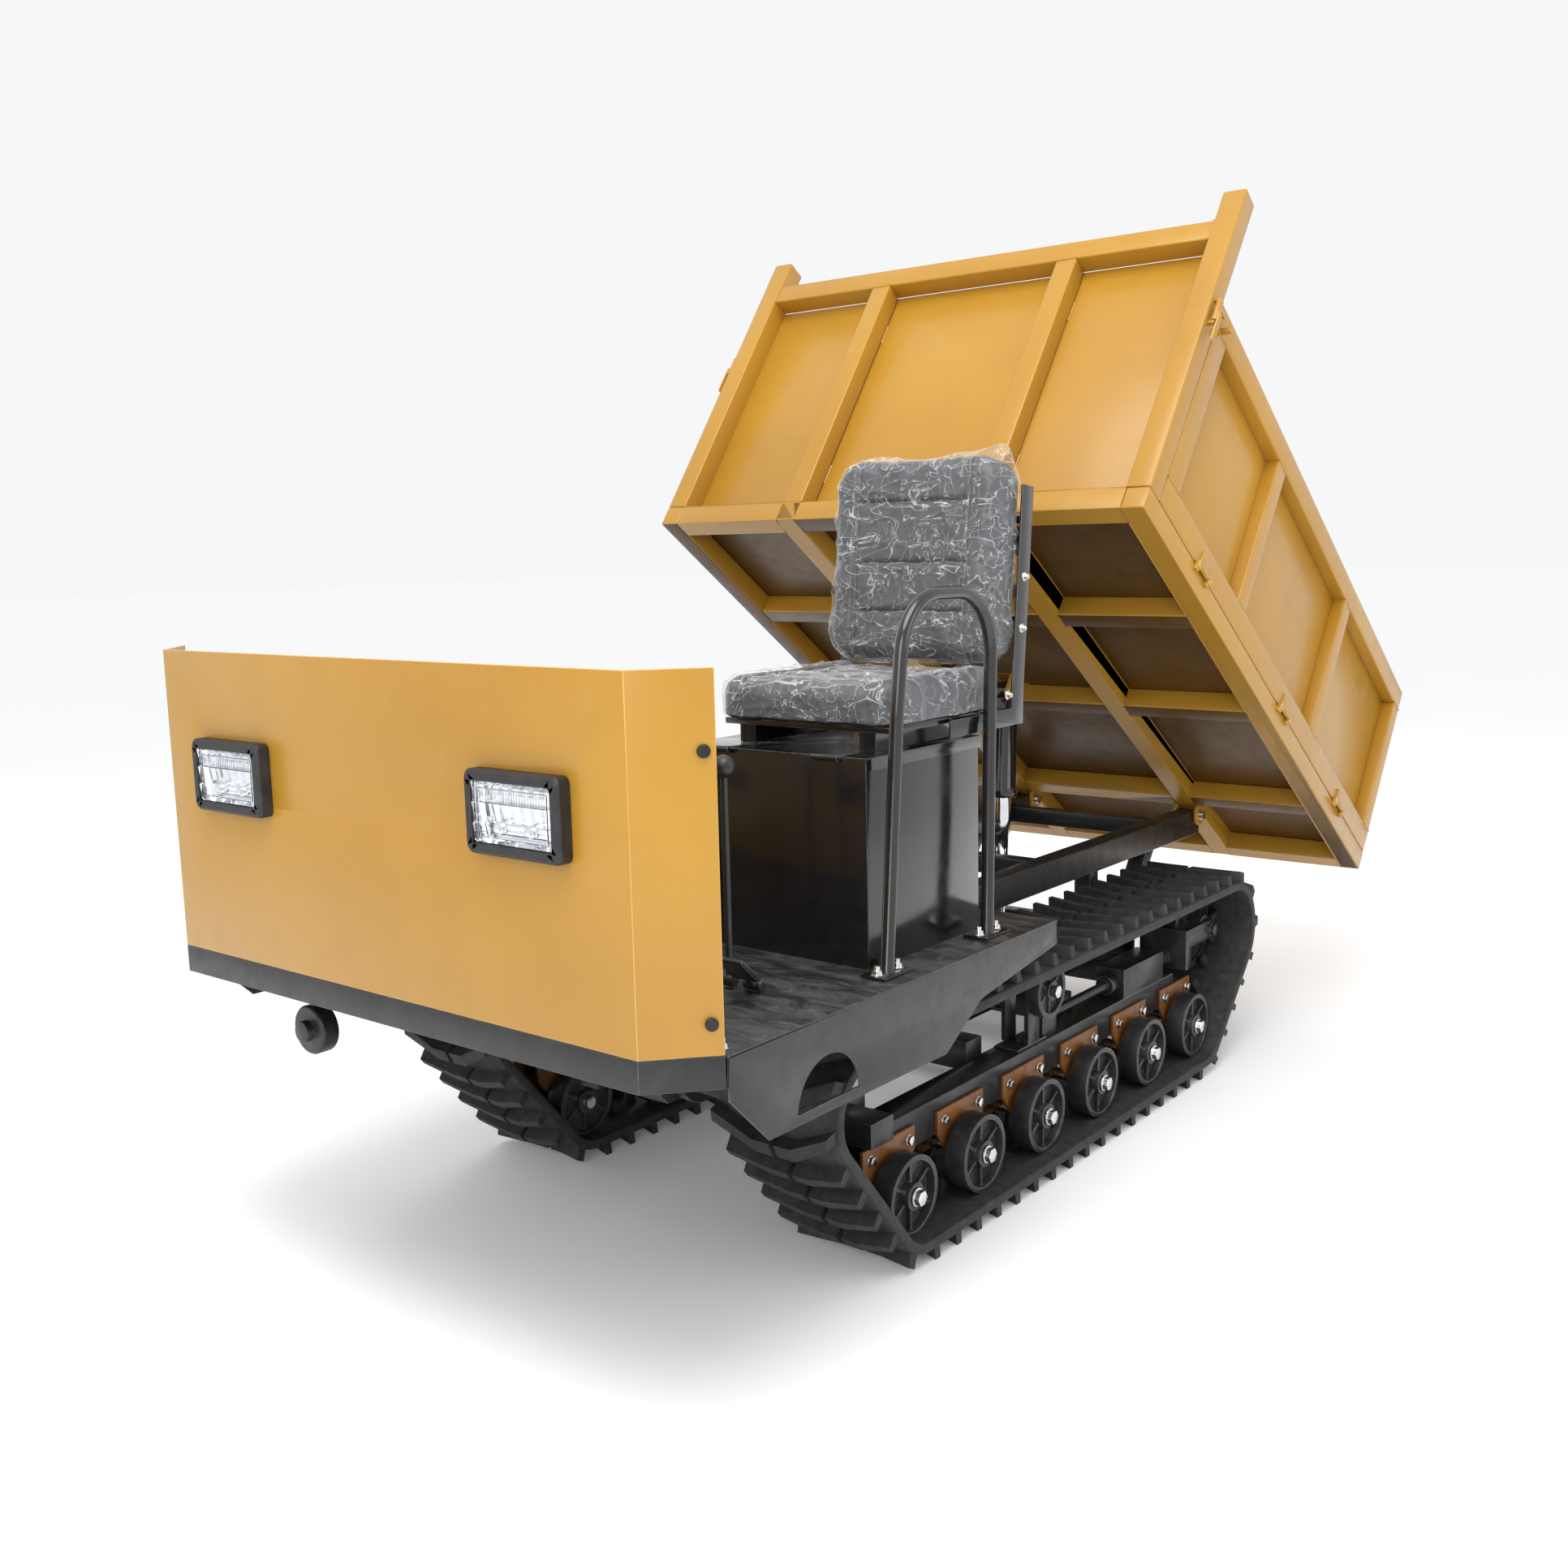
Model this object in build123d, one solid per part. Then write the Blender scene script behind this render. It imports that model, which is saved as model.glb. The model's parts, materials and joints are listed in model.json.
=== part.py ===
from build123d import *
import os
from math import asin, atan2, cos, degrees, hypot, pi, radians, sin, sqrt

# A ride-on crawler dumper: two rubber tracks, a driver's deck behind a front cowl, and a tipping cargo bed.
# Millimetres. +X is the driver's left, -Y is the front, +Z is up. The layout frame has y = 0 at the cowl's
# front face and z = 0 on the ground; at the end everything is shifted so that the origin is bbox bottom centre.

# ---- overall sizes
deck_half_width = 755.0
bed_half_width = 744.0
bed_front = 1597.0          # from the tipping hinge forward to the bed's front face
bed_rear = 331.0            # from the tipping hinge back to the bed's rear face
tip_angle = 35.44           # the bed is stored fully tipped

# ---- clearances
running_gap = 0.1           # radial gap between a pin and its bush
seam = 2.0                  # between gates, posts and floor

# ---- front cowl, skirt and lamps
cowl_flat = 655.0           # half width of the flat front
cowl_half_width = 750.0
cowl_corner_depth = 103.0
cowl_bottom = 692.0
cowl_top = 1316.0
sheet = 3.0
cowl_flange = 22.0
skirt_bottom = 635.0
skirt_lip = 14.0
cowl_bolt_radius = 11.0
lamp_spacing = 415.0
lamp_height = 1069.0
lamp_width = 229.0
lamp_tall = 144.0
lamp_proud = 30.0
lamp_rim = 19.0
lamp_corner = 14.0
lens_recess = 4.0
lens_thick = 6.0

# ---- deck
deck_top = 691.0
deck_plate = 5.0
deck_rib_depth = 45.0
deck_front = 106.0
deck_rear = 1188.0
side_plate = 5.0
foot_hole_front = 281.0
foot_hole_rear = 462.0
foot_hole_low = 536.0
foot_hole_high = 620.0

# ---- engine box, lid and seat
box_x = (200.0, 650.0)
box_y = (640.0, 1039.0)
box_top = 1095.0
lid_gap = 1.5
lid_rim = 22.0
seat_centre = 447.0
cushion_width = 452.0
cushion_front = 690.0
cushion_rear = 1112.0
cushion_low = 1150.0
cushion_high = 1218.0
back_width = 436.0
back_low = 1240.0
back_high = 1682.0
back_front = 1082.0
back_thick = 78.0
back_lean = 6.0
frame_plate = 5.0
frame_depth = 46.0

# ---- grab rail
rail_x = 695.0
rail_radius = 13.5
rail_foot_front = 636.0
rail_foot_rear = 998.0
rail_top = 1412.0
rail_bend = 125.0
foot_plate = (96.0, 56.0, 6.0)

# ---- tracks and wheels
track_width = 302.0
track_inner_edge = 336.0
track_centre = track_inner_edge + track_width / 2
belt_thick = 24.0
lug_high = 30.0
lug_pitch = 84.1
lug_root = 34.0
lug_sweep = 46.0
horn_inner = 28.0
horn_outer = 46.0
horn_high = 38.0
horn_long = 32.0
lug_sink = 12.0             # how deep a lug is set into the belt
arc_share = 50.0            # about how far round a wheel one solid of the track goes
wheel_gap = 0.4             # between a wheel and the belt it runs on
sprocket_y = 672.0
sprocket_z = 396.0
sprocket_radius = 100.0
sprocket_teeth = 8
sprocket_width = 38.0
drive_reach = track_centre - 47  # where the final drives end and the sprockets' hubs begin
roller_count = 6
roller_first = 865.0
roller_spacing = 282.0
roller_radius = 88.0
roller_near = (track_centre - 113, track_centre - 63)
roller_far = (track_centre + 63, track_centre + 113)
roller_axle = 15.0
roller_hub = 30.0
idler_y = 2454.0
idler_radius = 121.0
idler_z = sprocket_z + sprocket_radius - idler_radius
idler_width = 42.0
carrier_y = 1497.0
carrier_radius = 67.0
carrier_near = (track_centre - 87, track_centre - 53)
carrier_far = (track_centre + 53, track_centre + 87)
carrier_axle = 12.0
carrier_hub = 24.0

# ---- track beams
beam_x = (track_centre - 41, track_centre + 41)
beam_y = (800.0, 2280.0)
beam_z = (201.0, 281.0)
bracket_plate = 8.0
bracket_half = roller_radius + 8
tensioner_y = (1973.0, 2214.0)
tensioner_top = 360.0
yoke_radius = 20.0
yoke_axis = 320.0

# ---- subframe and tipping hinge
hinge_y = 2892.0
hinge_z = 622.0
hinge_pin = 15.0
rail_centre = 294.0
rail_width = 59.0
rail_high = 77.0
rail_rise = 16.0            # top of the rails above the hinge axis
rail_front = 1092.0
cross_tube = 50.0

# ---- bed, drawn level with the tipping hinge at its origin, then tipped
bed_low = 17.0              # underside of the floor frame above the hinge axis
bed_tube = 59.0
floor_sheet = 3.0
cross_places = (1110.0, 630.0, 60.0)
post_size = 62.0
post_top = 971.0
head_rail = (821.0, 881.0)
gate_top = 661.0
gate_thick = 42.0
gate_bottom_rail = 74.0
gate_top_rail = 67.0
gate_upright = 60.0
gate_uprights = (975.0, 302.0)
gate_hinges = (bed_front - 350, 560.0, -5.0)
knuckle_radius = 7.5
knuckle_long = 52.0
hinge_offset = 8.5
gate_pin = 3.5
tailgate_hinge = 480.0
bed_rail_width = 60.0
latch_high = 600.0
latch_stand = 13.0          # from the post's face out to the latch's axis
latch_inset = 22.0          # from the bed's front face back to the latch's axis
latch_eye = 60.0            # between the latch's brackets

# ---- two-stage tipping cylinder: both pins lie the same distance from the bed's hinge, so it stays in line
upper_pin_along = 780.0
upper_pin_rise = -20.0
open_angle = 62.0           # between the two pins seen from the hinge, fully tipped
pin_radius = 14.0
barrel_radius = 43.0
barrel_wall = 7.0
barrel_length = 310.0       # from the upper pin to the gland
barrel_start = 50.0
sleeve_radius = 30.0
sleeve_wall = 5.0
sleeve_length = 250.0
rod_radius = 20.0
rod_length = 290.0          # from the lower pin
gland_long = 24.0
eye_radius = 28.0
eye_width = 44.0


def block(x, y, z):
    """A box between three pairs of limits."""
    size = (x[1] - x[0], y[1] - y[0], z[1] - z[0])
    return Pos((x[0] + x[1]) / 2, (y[0] + y[1]) / 2, (z[0] + z[1]) / 2) * Box(*size)


def round_x(x, y, z, radius):
    """A cylinder along X."""
    return Pos((x[0] + x[1]) / 2, y, z) * Rot(0, 90, 0) * Cylinder(radius, x[1] - x[0])


def round_y(x, y, z, radius):
    """A cylinder along Y."""
    return Pos(x, (y[0] + y[1]) / 2, z) * Rot(90, 0, 0) * Cylinder(radius, y[1] - y[0])


def round_z(x, y, z, radius):
    """A cylinder along Z."""
    return Pos(x, y, (z[0] + z[1]) / 2) * Cylinder(radius, z[1] - z[0])


def hexagon_x(x, y, z, across):
    """A hexagonal bar along X, by its size across flats."""
    face = Plane.YZ.offset(x[0]) * Pos(y, z) * RegularPolygon(across / sqrt(3), 6)
    return extrude(face, x[1] - x[0])


def hexagon_z(x, y, z, across):
    """A hexagonal bar along Z, by its size across flats."""
    face = Plane.XY.offset(z[0]) * Pos(x, y) * RegularPolygon(across / sqrt(3), 6)
    return extrude(face, z[1] - z[0])


def side_prism(points, x):
    """A plate of the outline given in (y, z), between two values of X."""
    face = Plane.YZ.offset(x[0]) * make_face(Polyline(*points, close=True))
    return extrude(face, x[1] - x[0])


def weld(pieces):
    """Several overlapping or touching solids as one."""
    first, *rest = pieces
    return first.fuse(*rest).clean() if rest else first


def boxes_meet(first, second):
    """Whether two shapes' bounding boxes touch."""
    a, b = first.bounding_box(), second.bounding_box()
    return all(low <= high for low, high in zip((*a.min, *b.min), (*b.max, *a.max)))


def butted(pieces):
    """Separate solids, each cut back where it would run into the ones before it."""
    kept = []
    for piece in pieces:
        cutters = [other for other in kept if boxes_meet(piece, other)]
        kept += (piece - cutters if cutters else piece).solids()
    return kept


def both(*limits):
    """Two limits in rising order, whichever side of the middle they are on."""
    return (min(limits), max(limits))


def around(middle, width):
    """Limits of a width about its middle."""
    return (middle - width / 2, middle + width / 2)


def mirrored(shape):
    return mirror(shape, about=Plane.YZ)


def slanted_bar(start, end, x, depth):
    """A bar between two (y, z) points, with its depth across the line."""
    run = (end[0] - start[0], end[1] - start[1])
    length = hypot(*run)
    across = (-run[1] / length * depth / 2, run[0] / length * depth / 2)
    corners = [
        (start[0] + across[0], start[1] + across[1]),
        (end[0] + across[0], end[1] + across[1]),
        (end[0] - across[0], end[1] - across[1]),
        (start[0] - across[0], start[1] - across[1]),
    ]
    return side_prism(corners, x)


def inset(points, distance):
    """The open outline moved sideways by a distance, with mitred corners."""
    moved = []
    lines = []
    for (x0, y0), (x1, y1) in zip(points, points[1:]):
        length = hypot(x1 - x0, y1 - y0)
        nx = -(y1 - y0) / length * distance
        ny = (x1 - x0) / length * distance
        lines.append(((x0 + nx, y0 + ny), (x1 + nx, y1 + ny)))
    moved.append(lines[0][0])
    for (a, b), (c, d) in zip(lines, lines[1:]):
        cross = (b[0] - a[0]) * (d[1] - c[1]) - (b[1] - a[1]) * (d[0] - c[0])
        share = ((c[0] - a[0]) * (d[1] - c[1]) - (c[1] - a[1]) * (d[0] - c[0])) / cross
        moved.append((a[0] + share * (b[0] - a[0]), a[1] + share * (b[1] - a[1])))
    moved.append(lines[-1][1])
    return moved


def folded_strip(outer, inner, z):
    """A folded sheet standing between two plan outlines."""
    face = Plane.XY.offset(z[0]) * make_face(Polyline(*outer, *reversed(inner), close=True))
    return extrude(face, z[1] - z[0])


# ---- front cowl ------------------------------------------------------------------------------------------
cowl_plan = [
    (-cowl_half_width, cowl_corner_depth),
    (-cowl_flat, 0.0),
    (cowl_flat, 0.0),
    (cowl_half_width, cowl_corner_depth),
]
cowl_inside = inset(cowl_plan, sheet)


def folded_panels(depth, z):
    """The cowl's folded sheet panel by panel, to a depth inside its outline."""
    inner = inset(cowl_plan, depth)
    return [folded_strip(cowl_plan[i : i + 2], inner[i : i + 2], z) for i in range(len(cowl_plan) - 1)]


def front_cowl():
    """Folded front sheet with a flange turned back along its top and a window behind each lamp."""
    right, middle, left = folded_panels(sheet, (cowl_bottom, cowl_top - sheet))
    flange = folded_panels(cowl_flange, (cowl_top - sheet, cowl_top))
    for side in (-1, 1):
        window_x = around(side * lamp_spacing, lamp_width - 2 * lamp_rim)
        window_z = around(lamp_height, lamp_tall - 2 * lamp_rim)
        middle = middle - block(window_x, (-sheet, 2 * sheet), window_z)
    return [right, middle, left, *flange]


def cowl_skirt():
    top = cowl_bottom - 0.2
    walls = folded_strip(cowl_plan, cowl_inside, (skirt_bottom, top))
    lip = folded_strip(cowl_plan, inset(cowl_plan, skirt_lip), (skirt_bottom, skirt_bottom + sheet))
    stays = [
        block(around(side * 520, 60.0), (sheet, deck_front + 40), (skirt_bottom + 2, skirt_bottom + 8))
        for side in (-1, 1)
    ]
    return weld([walls, lip, *stays])


def corner_point(height, inward, side):
    """A point on a corner panel's outer face, near its rear edge."""
    run = (cowl_half_width - cowl_flat, cowl_corner_depth)
    share = 1 - inward / hypot(*run)
    x = cowl_flat + run[0] * share
    y = run[1] * share
    return (side * x, y, height)


def cowl_bolts():
    """Dome-headed bolts that hold the cowl's corner panels to the posts behind them."""
    angle = degrees(atan2(cowl_corner_depth, cowl_half_width - cowl_flat))
    bolts = []
    for side in (-1, 1):
        for height in (1184.0, 745.0):
            place = Pos(*corner_point(height, 20.0, side)) * Rot(0, 0, side * angle)
            head = Pos(0, -3.5, 0) * Rot(90, 0, 0) * Cylinder(cowl_bolt_radius, 7.0)
            head = fillet(head.edges().filter_by(GeomType.CIRCLE).sort_by(Axis.Y)[0], 3.0)
            bolts.append(place * head)
    return bolts


def lamp_shell():
    """One lamp's bezel at the origin, its mounting face at y = 0, open at the front for the lens."""
    outline = RectangleRounded(lamp_width, lamp_tall, lamp_corner)
    shell = extrude(Plane.XZ * outline, lamp_proud)
    shell = chamfer(shell.faces().sort_by(Axis.Y)[0].outer_wire().edges(), 7.0)
    window = RectangleRounded(lamp_width - 2 * lamp_rim, lamp_tall - 2 * lamp_rim, lamp_corner / 2)
    cavity = extrude(Plane.XZ.offset(-30) * window, lamp_proud + 40)
    back = extrude(
        Plane.XZ.offset(-26)
        * RectangleRounded(lamp_width - 2 * lamp_rim - 2, lamp_tall - 2 * lamp_rim - 2, lamp_corner / 2),
        26,
    )
    pocket = extrude(
        Plane.XZ.offset(-23)
        * RectangleRounded(lamp_width - 2 * lamp_rim - 8, lamp_tall - 2 * lamp_rim - 8, lamp_corner / 2),
        40,
    )
    neck = weld([shell - cavity, back - pocket])
    return neck


def lamp_lens():
    window = RectangleRounded(lamp_width - 2 * lamp_rim - 1, lamp_tall - 2 * lamp_rim - 1, lamp_corner / 2)
    return extrude(Plane.XZ.offset(lamp_proud - lens_recess - lens_thick) * window, lens_thick)


def at_lamps(shape):
    return [Pos(side * lamp_spacing, -0.2, lamp_height) * shape for side in (-1, 1)]


def horn():
    """A disc horn hung on a bracket behind the skirt, in front of the right track."""
    x = -545.0
    y = 225.0
    z = 470.0
    disc = round_y(x, (y - 22, y + 22), z, 55.0)
    disc = fillet(disc.edges().filter_by(GeomType.CIRCLE), 8.0)
    dome = round_y(x, (y - 40, y - 20), z, 24.0)
    strap = block((x - 12, x + 12), (y + 18, y + 22), (z, deck_top - deck_plate - 0.2))
    return weld([disc, dome, strap])


# ---- deck ------------------------------------------------------------------------------------------------
def operator_deck():
    top = block((-deck_half_width, deck_half_width), (deck_front, deck_rear), (deck_top - deck_plate, deck_top))
    outline = [
        (deck_front, deck_top),
        (deck_front, 613.0),
        (204.0, 517.0),
        (748.0, 515.0),
        (879.0, 594.0),
        (1182.0, 638.0),
        (deck_rear, 640.0),
        (deck_rear, deck_top),
    ]
    plate = side_prism(outline, (deck_half_width - side_plate, deck_half_width))
    span = foot_hole_rear - foot_hole_front
    rise = foot_hole_high - foot_hole_low
    middle = (foot_hole_front + foot_hole_rear) / 2
    arch = make_face(
        [
            Line((foot_hole_front, foot_hole_low), (foot_hole_rear, foot_hole_low)),
            ThreePointArc(
                (foot_hole_rear, foot_hole_low),
                (middle, foot_hole_low + min(rise, span / 2)),
                (foot_hole_front, foot_hole_low),
            ),
        ]
    )
    hole = extrude(Plane.YZ.offset(deck_half_width - 2 * side_plate) * arch, 3 * side_plate)
    plate = plate - hole
    rib_z = (deck_top - deck_rib_depth, deck_top - deck_plate)
    ribs = [
        block((-deck_half_width + 20, deck_half_width - 20), around(y, 40.0), rib_z)
        for y in (deck_front + 30, deck_rear - 38)
    ]
    return butted([top, plate, mirrored(plate), *ribs])


def engine_box():
    """Sheet-metal box round the engine, open at the top where the lid lies, and at the bottom."""
    low = deck_top + 0.2
    outer = block(box_x, box_y, (low, box_top))
    inner = block(
        (box_x[0] + sheet, box_x[1] - sheet), (box_y[0] + sheet, box_y[1] - sheet), (low - 10, box_top + 10)
    )
    return outer - inner


def engine():
    """Single-cylinder engine inside the box: crankcase, finned cylinder, flywheel housing and silencer."""
    x = sum(box_x) / 2
    y = sum(box_y) / 2
    low = deck_top + 0.2
    case = block((x - 95, x + 95), (y - 110, y + 90), (low + 12, low + 190))
    feet = [block((x - 105, x + 105), (y + s * 70 - 18, y + s * 70 + 18), (low, low + 12)) for s in (-1, 1)]
    barrel = block((x - 60, x + 60), (y - 60, y + 50), (low + 190, low + 270))
    fins = [
        block((x - 78, x + 78), (y - 78, y + 68), (low + 198 + 16 * i, low + 204 + 16 * i)) for i in range(4)
    ]
    head = block((x - 70, x + 70), (y - 70, y + 60), (low + 262, low + 300))
    wheel = round_x((x + 95, x + 165), y - 10, low + 105, 92.0)
    shaft = round_x((x - 150, x - 95), y - 10, low + 90, 14.0)
    pulley = round_x((x - 185, x - 150), y - 10, low + 90, 52.0)
    silencer = block((x - 90, x + 90), (y + 92, y + 160), (low + 200, low + 290))
    pipe = block((x - 20, x + 20), (y + 48, y + 96), (low + 225, low + 255))
    return weld([case, *feet, barrel, *fins, head, wheel, shaft, pulley, pipe, silencer])


def hydraulic_tank():
    """Oil tank and pump block on the right of the deck."""
    low = deck_top + 0.2
    tank = block((-640, -260), (700, 1010), (low, 1010))
    tank = chamfer(tank.edges().filter_by(Axis.Z), 18.0)
    cap = round_z(-540, 780, (1010, 1040), 32.0)
    valve = block((-250, -150), (760, 900), (low, low + 110))
    ports = [round_z(-230 + 30 * i, 830, (low + 110, low + 135), 9.0) for i in range(3)]
    link = block((-262, -248), (800, 860), (low + 30, low + 80))
    return weld([tank, cap, link, valve, *ports])


def transmission():
    """Gearbox below the deck, with a final drive reaching out to each sprocket."""
    case = block((-170, 170), (560, 790), (340, 520))
    case = chamfer(case.edges().filter_by(Axis.X), 20.0)
    tower = block((-120, 60), (600, 740), (520, 600))
    drives = [
        round_x(both(side * 165, side * drive_reach), sprocket_y, sprocket_z, 52.0)
        for side in (-1, 1)
    ]
    flanges = [
        round_x(both(side * 170, side * 190), sprocket_y, sprocket_z, 74.0)
        for side in (-1, 1)
    ]
    return weld([case, tower, *drives, *flanges])


# ---- chassis ---------------------------------------------------------------------------------------------
ladder_rail = (185.0, 245.0)        # across, on either side
ladder_y = (720.0, 2520.0)
ladder_z = (255.0, 325.0)
ladder_crosses = (870.0, 1350.0, 1800.0)
ladder_tube = 70.0
ladder_rear = 60.0
post_y = 2204.0                     # the subframe's rear posts
strut_y = 2411.0                    # feet of its sloping struts
strut_top_y = 2577.0
strut_depth = 46.0
strut_foot = 31.0
subframe_post = 50.0
deck_under = deck_top - deck_rib_depth - 0.2
deck_arm_low = 590.0
deck_arm_y = (150.0, 1085.0)
deck_bumper = 60.0
deck_posts = (840.0, 1055.0)
pin_cheek = 12.0                    # plates on either side of a cylinder eye
pin_gap = 1.0
lower_pin_angle = atan2(upper_pin_rise, upper_pin_along) + radians(tip_angle - open_angle)
pin_reach = hypot(upper_pin_along, upper_pin_rise)
lower_pin_y = hinge_y - pin_reach * cos(lower_pin_angle)
lower_pin_z = hinge_z + pin_reach * sin(lower_pin_angle)


def pin_cheeks(side):
    """The limits across of one plate beside a cylinder eye."""
    inner = eye_width / 2 + pin_gap
    return both(side * inner, side * (inner + pin_cheek))


def chassis_frame():
    """Ladder between the tracks, its cross tubes out to the track beams, deck posts and cylinder bracket."""
    rails = []
    stubs = []
    arms = []
    posts = []
    cheeks = []
    for s in (-1, 1):
        rail_x = both(s * ladder_rail[0], s * ladder_rail[1])
        rails.append(block(rail_x, ladder_y, ladder_z))
        for y in (*ladder_crosses, post_y):
            stubs.append(block(both(s * ladder_rail[1], s * beam_x[0]), around(y, ladder_tube), ladder_z))
        stubs.append(block(both(s * ladder_rail[1], s * 330.0), around(strut_y, ladder_tube), ladder_z))
        arms.append(block(rail_x, (deck_arm_y[0] + deck_bumper, deck_arm_y[1]), (deck_arm_low, deck_under)))
        for y in deck_posts:
            post_x = around(s * sum(ladder_rail) / 2, subframe_post)
            posts.append(block(post_x, around(y, subframe_post), (ladder_z[1], deck_arm_low)))
        cheeks.append(
            block(pin_cheeks(s), around(lower_pin_y, 200.0), (lower_pin_z - 32, lower_pin_z + 25))
        )
    span = (-ladder_rail[0], ladder_rail[0])
    crosses = [block(span, around(y, ladder_tube), ladder_z) for y in ladder_crosses]
    rear = block((-ladder_rail[1], ladder_rail[1]), (ladder_y[1], ladder_y[1] + ladder_rear), ladder_z)
    bumper_y = (deck_arm_y[0], deck_arm_y[0] + deck_bumper)
    bumper = block((-ladder_rail[1], ladder_rail[1]), bumper_y, (deck_arm_low - 10, deck_under))
    bridges = [block(span, around(lower_pin_y + s * 98.0, 50.0), ladder_z) for s in (-1, 1)]
    pin = round_x((-eye_width / 2 - 22, eye_width / 2 + 22), lower_pin_y, lower_pin_z, pin_radius)
    bracket = weld([*bridges, *cheeks, pin])
    return butted([*rails, rear, *crosses, *stubs, bumper, *arms, *posts, bracket])


subframe_crosses = (rail_front + 30, 1560.0, 2010.0, 2750.0)
rail_end = 60.0                     # length of the bored block at each rail's rear end


def bed_subframe():
    """Two rails that carry the bed, with cross tubes, posts and struts down to the chassis."""
    top = hinge_z + rail_rise
    low = top - rail_high
    foot = ladder_z[1] + 0.2
    pieces = []
    for s in (-1, 1):
        x = around(s * rail_centre, rail_width)
        pieces.append(block(x, (rail_front, hinge_y - rail_end), (low, top)))
        end = block(x, (hinge_y - rail_end, hinge_y), (low, top))
        nose = round_x(x, hinge_y, hinge_z, rail_rise)
        tail = block(x, (hinge_y - 1, hinge_y + rail_rise), (low, hinge_z))
        bore = round_x((x[0] - 1, x[1] + 1), hinge_y, hinge_z, hinge_pin + running_gap)
        pieces.append(weld([end, nose, tail]) - bore)
    inside = rail_centre - rail_width / 2
    for y in subframe_crosses:
        pieces.append(block((-inside, inside), around(y, cross_tube), (low + 10, low + 10 + cross_tube)))
    for s in (-1, 1):
        x = around(s * rail_centre, subframe_post)
        pieces.append(block(x, around(post_y, subframe_post), (foot, low)))
        pieces.append(block(x, around(strut_y, ladder_tube), (foot, foot + strut_foot)))
        strut = slanted_bar((strut_y, foot + 20), (strut_top_y, low + 20), x, strut_depth)
        pieces.append(strut & block(x, around(strut_y, 600.0), (foot + strut_foot, low)))
    return butted(pieces)


def track_beam():
    """Left track beam with the carrier stand, tensioner housing and adjusting screw."""
    x = sum(beam_x) / 2
    beam = block(beam_x, beam_y, beam_z)
    nose_y = (beam_y[0] - 26, beam_y[0] + 56)
    nose = block((beam_x[0], beam_x[1] + 26), nose_y, (beam_z[1] - 20, beam_z[1] + 36))
    top = beam_z[1]
    base = block((x - 34, x + 34), (carrier_y - 70, carrier_y + 70), (top, top + 8))
    legs = [
        block((x + s * 32 - 6, x + s * 32 + 6), (carrier_y - 26, carrier_y + 26), (top + 8, carrier_z + 22))
        for s in (-1, 1)
    ]
    housing = block(beam_x, tensioner_y, (top, tensioner_top))
    yoke_bore = (tensioner_y[0] + 20, tensioner_y[1] + 1)
    housing = housing - round_y(x, yoke_bore, yoke_axis, yoke_radius + running_gap)
    stop = block((x - 27, x + 27), (1560, 1630), (top, top + 70))
    screw = round_y(x, (1560, tensioner_y[0] + 5), yoke_axis, 12.0)
    collar = round_y(x, (tensioner_y[0] - 34, tensioner_y[0]), yoke_axis, 26.0)
    axle = round_x((x - 60, x + 60), carrier_y, carrier_z, carrier_axle)
    pieces = [beam, housing, base, *legs, nose, stop, weld([screw, collar])]
    return butted([piece - axle for piece in pieces])


carrier_z = sprocket_z + sprocket_radius - carrier_radius - wheel_gap


def roller_places():
    return [roller_first + roller_spacing * i for i in range(roller_count)]


roller_z = belt_thick + lug_high + roller_radius + wheel_gap


def roller_brackets():
    """Plates that hang each roller's axle from the beam, one on either side of it."""
    plates = []
    for y in roller_places():
        for x in ((beam_x[1], beam_x[1] + bracket_plate), (beam_x[0] - bracket_plate, beam_x[0])):
            outline = [
                (y - bracket_half, beam_z[1] - 26),
                (y - bracket_half, beam_z[1] - 78),
                (y - 30, roller_z - 28),
                (y + 30, roller_z - 28),
                (y + bracket_half, beam_z[1] - 78),
                (y + bracket_half, beam_z[1] - 26),
            ]
            bore = round_x((x[0] - 1, x[1] + 1), y, roller_z, roller_axle + running_gap)
            plates.append(side_prism(outline, x) - bore)
    return plates + [mirrored(p) for p in plates]


def undercarriage_fasteners():
    """Roller axles with their hexagon heads, bracket bolts, carrier axles and the tipping hinge pins."""
    bolts = []
    for y in roller_places():
        shaft = round_x((roller_near[0] - 14, roller_far[1] + 6), y, roller_z, roller_axle)
        cap = hexagon_x((roller_far[1] + 6, roller_far[1] + 20), y, roller_z, 30.0)
        washer = round_x((roller_far[1] + 4, roller_far[1] + 7), y, roller_z, 20.0)
        bolts.append(weld([shaft, washer, cap]))
        for s in (-1, 1):
            place = y + s * 71
            face = beam_x[1] + bracket_plate
            head = hexagon_x((face + 2, face + 11), place, 229.0, 19.0)
            ring = round_x((face, face + 2.5), place, 229.0, 12.0)
            bolts.append(weld([ring, head]))
    shaft = round_x((carrier_near[0] - 8, carrier_far[1] + 6), carrier_y, carrier_z, carrier_axle)
    cap = hexagon_x((carrier_far[1] + 6, carrier_far[1] + 18), carrier_y, carrier_z, 28.0)
    bolts.append(weld([shaft, cap]))
    pin = round_x(around(rail_centre, rail_width + 44), hinge_y, hinge_z, hinge_pin)
    bolts.append(pin)
    return bolts + [mirrored(b) for b in bolts]


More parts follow.
